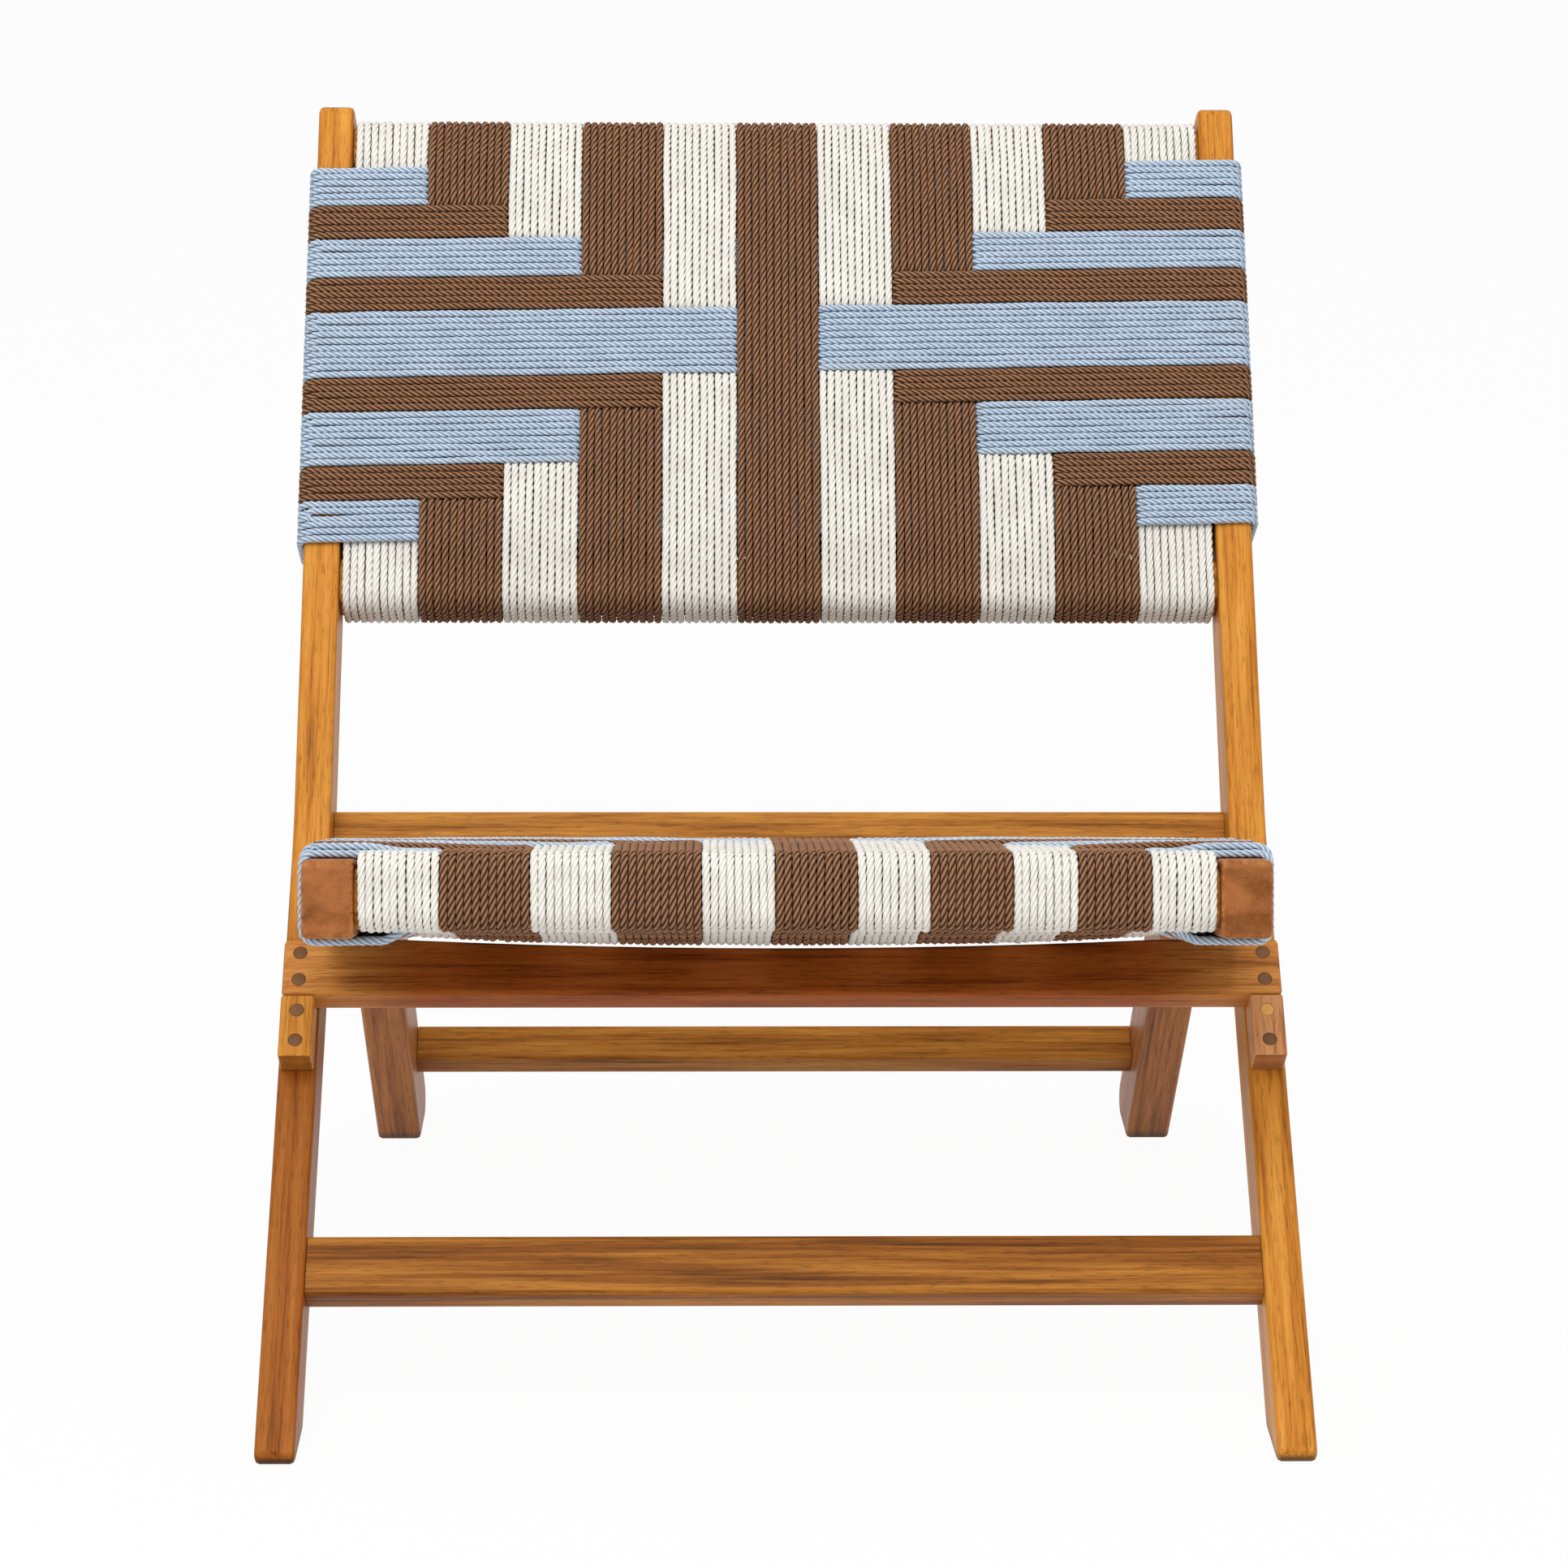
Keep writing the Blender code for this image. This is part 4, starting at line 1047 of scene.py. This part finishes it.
    def build(self, rope: LaidRope) -> list[Piece]:
        """Wind every column and row and set it in place of its CAD node.

        Args:
            rope: Maker of the ropes.

        Returns:
            The finished bands.
        """
        bands = []
        for index in range(len(self.column_ropes)):
            colour = RopeColour.BROWN if index % 2 else RopeColour.CREAM
            rng = np.random.default_rng(self.seed + index)
            along, across, out, _ = self.slack.wander(self.column(index).route(), rng).T
            route = self.frame.points(across, along, self.settled(across, along, out))
            band = rope.lay(f"{self.word}_cord_column_{index + 1}", route, colour, self.column_lay)
            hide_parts(f"{self.word}_column_{index + 1}")
            bands.append(self.dress(band))
        for index in range(len(self.row_ropes)):
            colour = RopeColour.BROWN if index % 2 else RopeColour.BLUE
            rng = np.random.default_rng(self.seed + len(self.column_ropes) + index)
            wandered = self.slack.wander(self.row(index).route(), rng)
            across, along, out, _ = self.uneven_edges(wandered, index, rng).T
            route = self.frame.points(across, along, self.settled(across, along, out))
            band = rope.lay(f"{self.word}_cord_row_{index + 1}", route, colour, self.row_lay)
            if index < 2:  # the first row of each colour stands for the CAD's rows of that colour
                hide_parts(f"{self.word}_rows_{colour.name.lower()}")
            bands.append(self.dress(band))
        return bands

    def dress(self, band: Piece) -> Piece:
        """Let a band move with its body."""
        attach(band, self.body.value)
        return band


# Timber


@dataclass(frozen=True)
class Board:
    """One wooden member."""

    node: str  # CAD node that it stands for
    body: Body
    finish: TimberFinish
    grain: Grain
    # real stains, and painted shade where another part shades the board
    stains_and_shades: tuple[StainAndShade, ...] = ()


@dataclass
class Timber:
    """Every board of the two frames."""

    boards: tuple[Board, ...]
    merge: float = 1e-6  # distance under which the CAD triangles' corners are one point
    flat_deg: float = 0.3  # largest angle between faces that are one flat face
    crease_deg: float = 50.0  # angle from which an edge stays sharp
    shift: float = 0.37  # distance between the patterns of two boards

    def merged_copy(self, node: Piece) -> Mesh:
        """Copy a CAD node with its triangles joined into flat and softly rounded faces.

        Args:
            node: The CAD node.

        Returns:
            The copy, with normals that keep the flat faces flat.
        """
        mesh = bpy.data.meshes.new(node.name)
        work = bmesh.new()
        work.from_mesh(node.data)
        bmesh.ops.remove_doubles(work, verts=work.verts, dist=self.merge)
        bmesh.ops.dissolve_limit(
            work, angle_limit=math.radians(self.flat_deg), verts=work.verts, edges=work.edges)
        for face in work.faces:
            face.smooth = True
        work.to_mesh(mesh)
        work.free()
        mesh.set_sharp_from_angle(angle=math.radians(self.crease_deg))
        holder = show(node.name + "_copy", mesh)
        normals = holder.modifiers.new("Flat faces", "WEIGHTED_NORMAL")
        normals.keep_sharp = True
        return finished_mesh(holder)

    def build(self, nodes: dict[str, Piece]) -> list[Piece]:
        """Copy and dress every board.

        Args:
            nodes: The CAD nodes by name.

        Returns:
            The finished boards.
        """
        pieces = []
        for index, board in enumerate(self.boards):
            piece = show(board.node + "_board", self.merged_copy(nodes[board.node]))
            piece.data.materials.clear()
            piece.data.materials.append(board.finish.material(board.grain, index * self.shift, board.stains_and_shades))
            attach(piece, board.body.value)
            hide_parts(board.node)
            pieces.append(piece)
        return pieces


# Fastenings


@dataclass
class Pegs:
    """Round wooden pegs through the crossrail and the blocks, with slightly domed ends."""

    diameter: float = 0.0085
    dome: float = 0.0005  # height of the dome on its end
    lean_deg: float = LEG_DEG  # angle of the pegs from upright, towards the chair's front
    corners: int = 32  # corners of the round section
    rings: int = 4  # rings of faces on an end
    shift: float = 0.21  # distance that shifts the grain's pattern
    pale: tuple[str, ...] = ("right_block_upper_peg",)  # nodes of the pale pegs

    @property
    def out(self) -> Vector:
        """Direction in which the pegs' ends face."""
        return square_to(slope(self.lean_deg))

    def peg_tree(self) -> Tree:
        """Build the tree: one domed peg set at each point.

        Returns:
            The tree.
        """
        tree, given = new_tree("wooden_pegs", {
            "Radius": "Float", "Length": "Float", "Dome": "Float", "Lean": "Float"})
        peg = add_node(tree, "GeometryNodeMeshCylinder", {
            "Vertices": self.corners, "Side Segments": 1, "Fill Segments": self.rings,
            "Radius": given["Radius"], "Depth": given["Length"]}, fill_type="TRIANGLE_FAN")
        point = add_node(tree, "GeometryNodeInputPosition")
        place = add_node(tree, "ShaderNodeSeparateXYZ", {0: point}).outputs
        flat = add_node(tree, "ShaderNodeCombineXYZ", {"X": place["X"], "Y": place["Y"]})
        radial = add_node(tree, "ShaderNodeVectorMath", {0: flat}, operation="LENGTH")
        share = add_node(tree, "ShaderNodeMath", {0: radial, 1: given["Radius"]}, operation="DIVIDE")
        square = add_node(tree, "ShaderNodeMath", {0: share, 1: 2.0}, operation="POWER")
        fall = add_node(tree, "ShaderNodeMath", {0: square, 1: given["Dome"]}, operation="MULTIPLY")
        lower = add_node(tree, "ShaderNodeMath", {0: 0.0, 1: fall}, operation="SUBTRACT")
        offset = add_node(tree, "ShaderNodeCombineXYZ", {"Z": lower})
        domed = add_node(tree, "GeometryNodeSetPosition", {
            "Geometry": peg, "Selection": peg.outputs["Top"], "Offset": offset})
        half = add_node(tree, "ShaderNodeMath", {0: given["Length"], 1: -0.5}, operation="MULTIPLY")
        sunk = add_node(tree, "ShaderNodeCombineXYZ", {"Z": half})
        seated = add_node(tree, "GeometryNodeTransform", {"Geometry": domed, "Translation": sunk})
        lean = add_node(tree, "ShaderNodeCombineXYZ", {"X": given["Lean"]})
        placed = add_node(tree, "GeometryNodeInstanceOnPoints", {
            "Points": given["Geometry"], "Instance": seated, "Rotation": lean})
        return end_tree(tree, placed, given["Material"])

    def build(self, nodes: dict[str, Piece]) -> list[Piece]:
        """Set the dark pegs and the pale one in place of their CAD nodes.

        Args:
            nodes: The CAD nodes by name.

        Returns:
            The finished pegs, one piece for each sort.
        """
        tree = self.peg_tree()
        names = sorted(name for name in nodes if name.endswith("_peg"))
        pieces = []
        for kind, finish in PEG_FINISHES.items():
            members = [name for name in names if (name in self.pale) == (kind is PegKind.PALE)]
            ends = []
            for name in members:
                low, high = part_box(name)
                rise = (high.z - low.z - self.diameter * abs(self.out.y)) / self.out.z
                ends.append((low + high) / 2.0 + self.out * rise / 2.0)
            points = bpy.data.meshes.new(kind.value + "_places")
            points.from_pydata([tuple(end) for end in ends], [], [])
            mesh = grown_mesh(show(kind.value + "_places", points), tree, {
                "Radius": self.diameter / 2.0, "Length": rise, "Dome": self.dome,
                "Lean": math.radians(self.lean_deg),
                "Material": finish.material(Grain(self.out), self.shift)})
            piece = show(kind.value + "s", mesh)
            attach(piece, Body.BACK.value)
            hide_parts(*members)
            pieces.append(piece)
        return pieces


@dataclass
class PivotHardware:
    """Bolts, nuts and spacers on which the seat frame folds. The CAD nodes stay and are dressed."""

    metal: PlainFinish  # finish of the bolts and nuts
    washer: PlainFinish  # finish of the spacers

    def build(self, nodes: dict[str, Piece]) -> list[Piece]:
        """Dress the pivot's nodes.

        Args:
            nodes: The CAD nodes by name.

        Returns:
            The dressed nodes.
        """
        metal, washer = self.metal.material(), self.washer.material()
        pieces = []
        for name, node in sorted(nodes.items()):
            if "_pivot_" in name:
                node.data.materials.clear()
                node.data.materials.append(washer if name.endswith("spacer") else metal)
                pieces.append(node)
        return pieces


# Stage


@dataclass
class Studio:
    """White studio with the camera of the photograph."""

    eye: Triple = (-0.0438, -2.5030, 1.0565)
    pitch_deg: float = 16.275  # angle of view under the horizon
    yaw_deg: float = 1.052  # angle of view towards +X
    roll_deg: float = -0.300  # turn of the camera about its view
    focal_px: float = 4963.2  # focal length in pixels of the square image
    image_px: float = 1932.0  # width of that image
    sensor_mm: float = 36.0
    floor_size: float = 80.0
    floor_share: float = 0.945  # share of plain white in the floor that is seen; the rest keeps the shadow
    paper: str = "#F4F4F4"
    ambient: float = 0.607  # strength of the even light from all round
    key_place: Triple = (-0.3, -1.7, 2.9)
    key_size: float = 2.2
    key_watts: float = 62.5
    aim: Triple = (0.0, 0.0, 0.35)

    def camera(self) -> None:
        """Set the camera where the photograph was taken."""
        pitch, yaw, roll = (math.radians(a) for a in (self.pitch_deg, self.yaw_deg, self.roll_deg))
        level = Vector((math.sin(yaw), math.cos(yaw), 0.0))
        right = Vector((math.cos(yaw), -math.sin(yaw), 0.0))
        view = level * math.cos(pitch) - Vector((0.0, 0.0, math.sin(pitch)))
        up = level * math.sin(pitch) + Vector((0.0, 0.0, math.cos(pitch)))
        turned_right = right * math.cos(roll) - up * math.sin(roll)
        turned_up = right * math.sin(roll) + up * math.cos(roll)
        data = bpy.data.cameras.new("camera")
        data.sensor_width = self.sensor_mm
        data.lens = self.focal_px / self.image_px * self.sensor_mm
        camera = show("camera", data)
        axes = Matrix((turned_right, turned_up, -view)).transposed().to_4x4()
        camera.matrix_world = Matrix.Translation(self.eye) @ axes
        bpy.context.scene.camera = camera

    @staticmethod
    def seen(tree: Tree) -> Node:
        """Add the test for what is seen directly, in a reflection or through glass.

        Args:
            tree: Tree that receives the test.

        Returns:
            Node that gives 1 for what is seen.
        """
        path = add_node(tree, "ShaderNodeLightPath").outputs
        either = add_node(tree, "ShaderNodeMath", {
            0: path["Is Camera Ray"], 1: path["Is Glossy Ray"]}, operation="MAXIMUM")
        return add_node(tree, "ShaderNodeMath", {
            0: either, 1: path["Is Transmission Ray"]}, operation="MAXIMUM")

    def backdrop(self) -> None:
        """Light the scene evenly and show white behind it."""
        world = bpy.data.worlds.new("studio")
        bpy.context.scene.world = world
        world.use_nodes = True
        tree = world.node_tree
        tree.nodes.clear()
        even = add_node(tree, "ShaderNodeBackground", {"Color": WHITE, "Strength": self.ambient})
        white = add_node(tree, "ShaderNodeBackground", {"Color": WHITE, "Strength": 1.0})
        mixed = add_node(tree, "ShaderNodeMixShader", {0: self.seen(tree), 1: even, 2: white})
        add_node(tree, "ShaderNodeOutputWorld", {"Surface": mixed})

    def floor(self) -> None:
        """Lay a white paper floor that keeps a pale shadow."""
        material, tree = new_material("white_paper_sweep")
        paper = add_node(tree, "ShaderNodeBsdfDiffuse", {"Color": linear(self.paper)})
        glow = add_node(tree, "ShaderNodeEmission", {"Color": WHITE, "Strength": 1.0})
        share = add_node(tree, "ShaderNodeMath", {
            0: self.seen(tree), 1: self.floor_share}, operation="MULTIPLY")
        mixed = add_node(tree, "ShaderNodeMixShader", {0: share, 1: paper, 2: glow})
        add_node(tree, "ShaderNodeOutputMaterial", {"Surface": mixed})
        half = self.floor_size / 2.0
        mesh = bpy.data.meshes.new("floor")
        corners = [(-half, -half, 0.0), (half, -half, 0.0), (half, half, 0.0), (-half, half, 0.0)]
        mesh.from_pydata(corners, [], [(0, 1, 2, 3)])
        mesh.materials.append(material)
        show("floor", mesh)

    def lamps(self) -> None:
        """Hang one large soft light above and in front of the chair."""
        data = bpy.data.lights.new("key", "AREA")
        data.size = self.key_size
        data.energy = self.key_watts
        lamp = show("key", data)
        lamp.location = self.key_place
        toward = Vector(self.aim) - Vector(self.key_place)
        lamp.rotation_euler = toward.to_track_quat("-Z", "Y").to_euler()

    def build(self) -> None:
        """Set up camera, light and floor."""
        bpy.context.scene.view_settings.view_transform = "Standard"
        self.camera()
        self.backdrop()
        self.floor()
        self.lamps()


# The chair

ACROSS = Grain(Vector((1.0, 0.0, 0.0)))
UP_THE_LEG = Grain(slope(LEG_DEG))
UP_THE_STILE = Grain(slope(LEG_DEG), slope(BACK_DEG), STILE_BEND)
DOWN_THE_SEAT = Grain(slope(SEAT_DEG), slope(REAR_LEG_DEG), SEAT_BEND)
# Painted shade: the left leg darkens below the seat, which shades it.
PAINTED_LEG_SHADE = StainAndShade("#C7AFAB", "Z", 0.27, 0.21)
# Painted shadow: the crossrail darkens in its middle, where the seat shades it. The scuffed toe is real
# wear.
PAINTED_SEAT_SHADOW = StainAndShade("#C9A284", "X", 0.29, 0.22)
SCUFFED_TOE = StainAndShade("#BCC8F0", "Z", 0.0095, 0.0035)

BOARDS = (
    Board("left_stile", Body.BACK, GOLDEN_ACACIA, UP_THE_STILE, (PAINTED_LEG_SHADE, SCUFFED_TOE)),
    Board("right_stile", Body.BACK, GOLDEN_ACACIA, UP_THE_STILE, (SCUFFED_TOE,)),
    Board("back_top_rail", Body.BACK, BROWN_ACACIA, ACROSS),
    Board("back_bottom_rail", Body.BACK, BROWN_ACACIA, ACROSS),
    Board("mid_rail", Body.BACK, BROWN_ACACIA, ACROSS),
    Board("front_crossrail", Body.BACK, AMBER_ACACIA, ACROSS, (PAINTED_SEAT_SHADOW,)),
    Board("left_bearer_block", Body.BACK, GOLDEN_ACACIA, UP_THE_LEG),
    Board("right_bearer_block", Body.BACK, TAN_ACACIA, UP_THE_LEG),
    Board("front_stretcher", Body.BACK, DARK_ACACIA, ACROSS),
    Board("left_seat_rail", Body.SEAT, RED_ACACIA, DOWN_THE_SEAT, (SCUFFED_TOE,)),
    Board("right_seat_rail", Body.SEAT, RED_ACACIA, DOWN_THE_SEAT, (SCUFFED_TOE,)),
    Board("seat_front_rail", Body.SEAT, BROWN_ACACIA, ACROSS),
    Board("seat_rear_rail", Body.SEAT, BROWN_ACACIA, ACROSS),
    Board("rear_leg_rail", Body.SEAT, BROWN_ACACIA, ACROSS),
)

BACK_PANEL = WovenPanel(
    word="back", body=Body.BACK, frame=MemberFrame((0.0, 0.00837, 0.28535), BACK_DEG), half_depth=0.0205,
    side_half=0.315, inner_half=0.291, rails=(0.1598, 0.5142), rows=(0.2065, 0.4802),
    column_ropes=(10, 11, 10, 11, 10, 11, 10, 11, 10, 11, 10), row_ropes=(6, 5, 8, 5, 10, 5, 6, 5, 6),
    seed=100, settling=Settling(loose_row=0, lean=(0.0075, 0.004)),
)
SEAT_PANEL = WovenPanel(
    word="seat", body=Body.SEAT, frame=MemberFrame((0.0, -0.26699, 0.33326), SEAT_DEG), half_depth=0.02315,
    side_half=0.284, inner_half=0.2535, rails=(0.006, 0.3105), rows=(0.034, 0.2412),
    column_ropes=(10, 11, 10, 11, 9, 10, 9, 10, 8, 9, 8), row_ropes=(5, 4, 5, 4, 8, 4, 5, 4, 5), seed=300,
    fullness=(0.0059, -0.0031), lower_ease=(0.06, 0.2), lower_woven=False, column_shift=(0.66, 0.74),
    settling=Settling(crown=0.0042, belly=0.0078, piled_row=0, pile=0.0045),
)


def main() -> None:
    """Build the chair's looks in order and report each piece."""
    logging.basicConfig(level=logging.INFO, format="%(message)s")
    for item in list(bpy.data.objects):
        bpy.data.objects.remove(item, do_unlink=True)
    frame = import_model()
    rope = LaidRope()
    pieces = Timber(BOARDS).build(frame["nodes"])
    pieces += Pegs().build(frame["nodes"])
    pieces += PivotHardware(ZINC_STEEL, NYLON).build(frame["nodes"])
    for panel in (BACK_PANEL, SEAT_PANEL):
        pieces += panel.build(rope)
    Studio().build()
    for piece in pieces:
        LOG.info("%s: %d faces", piece.name, len(piece.data.polygons))


if __name__ == "__main__":
    main()
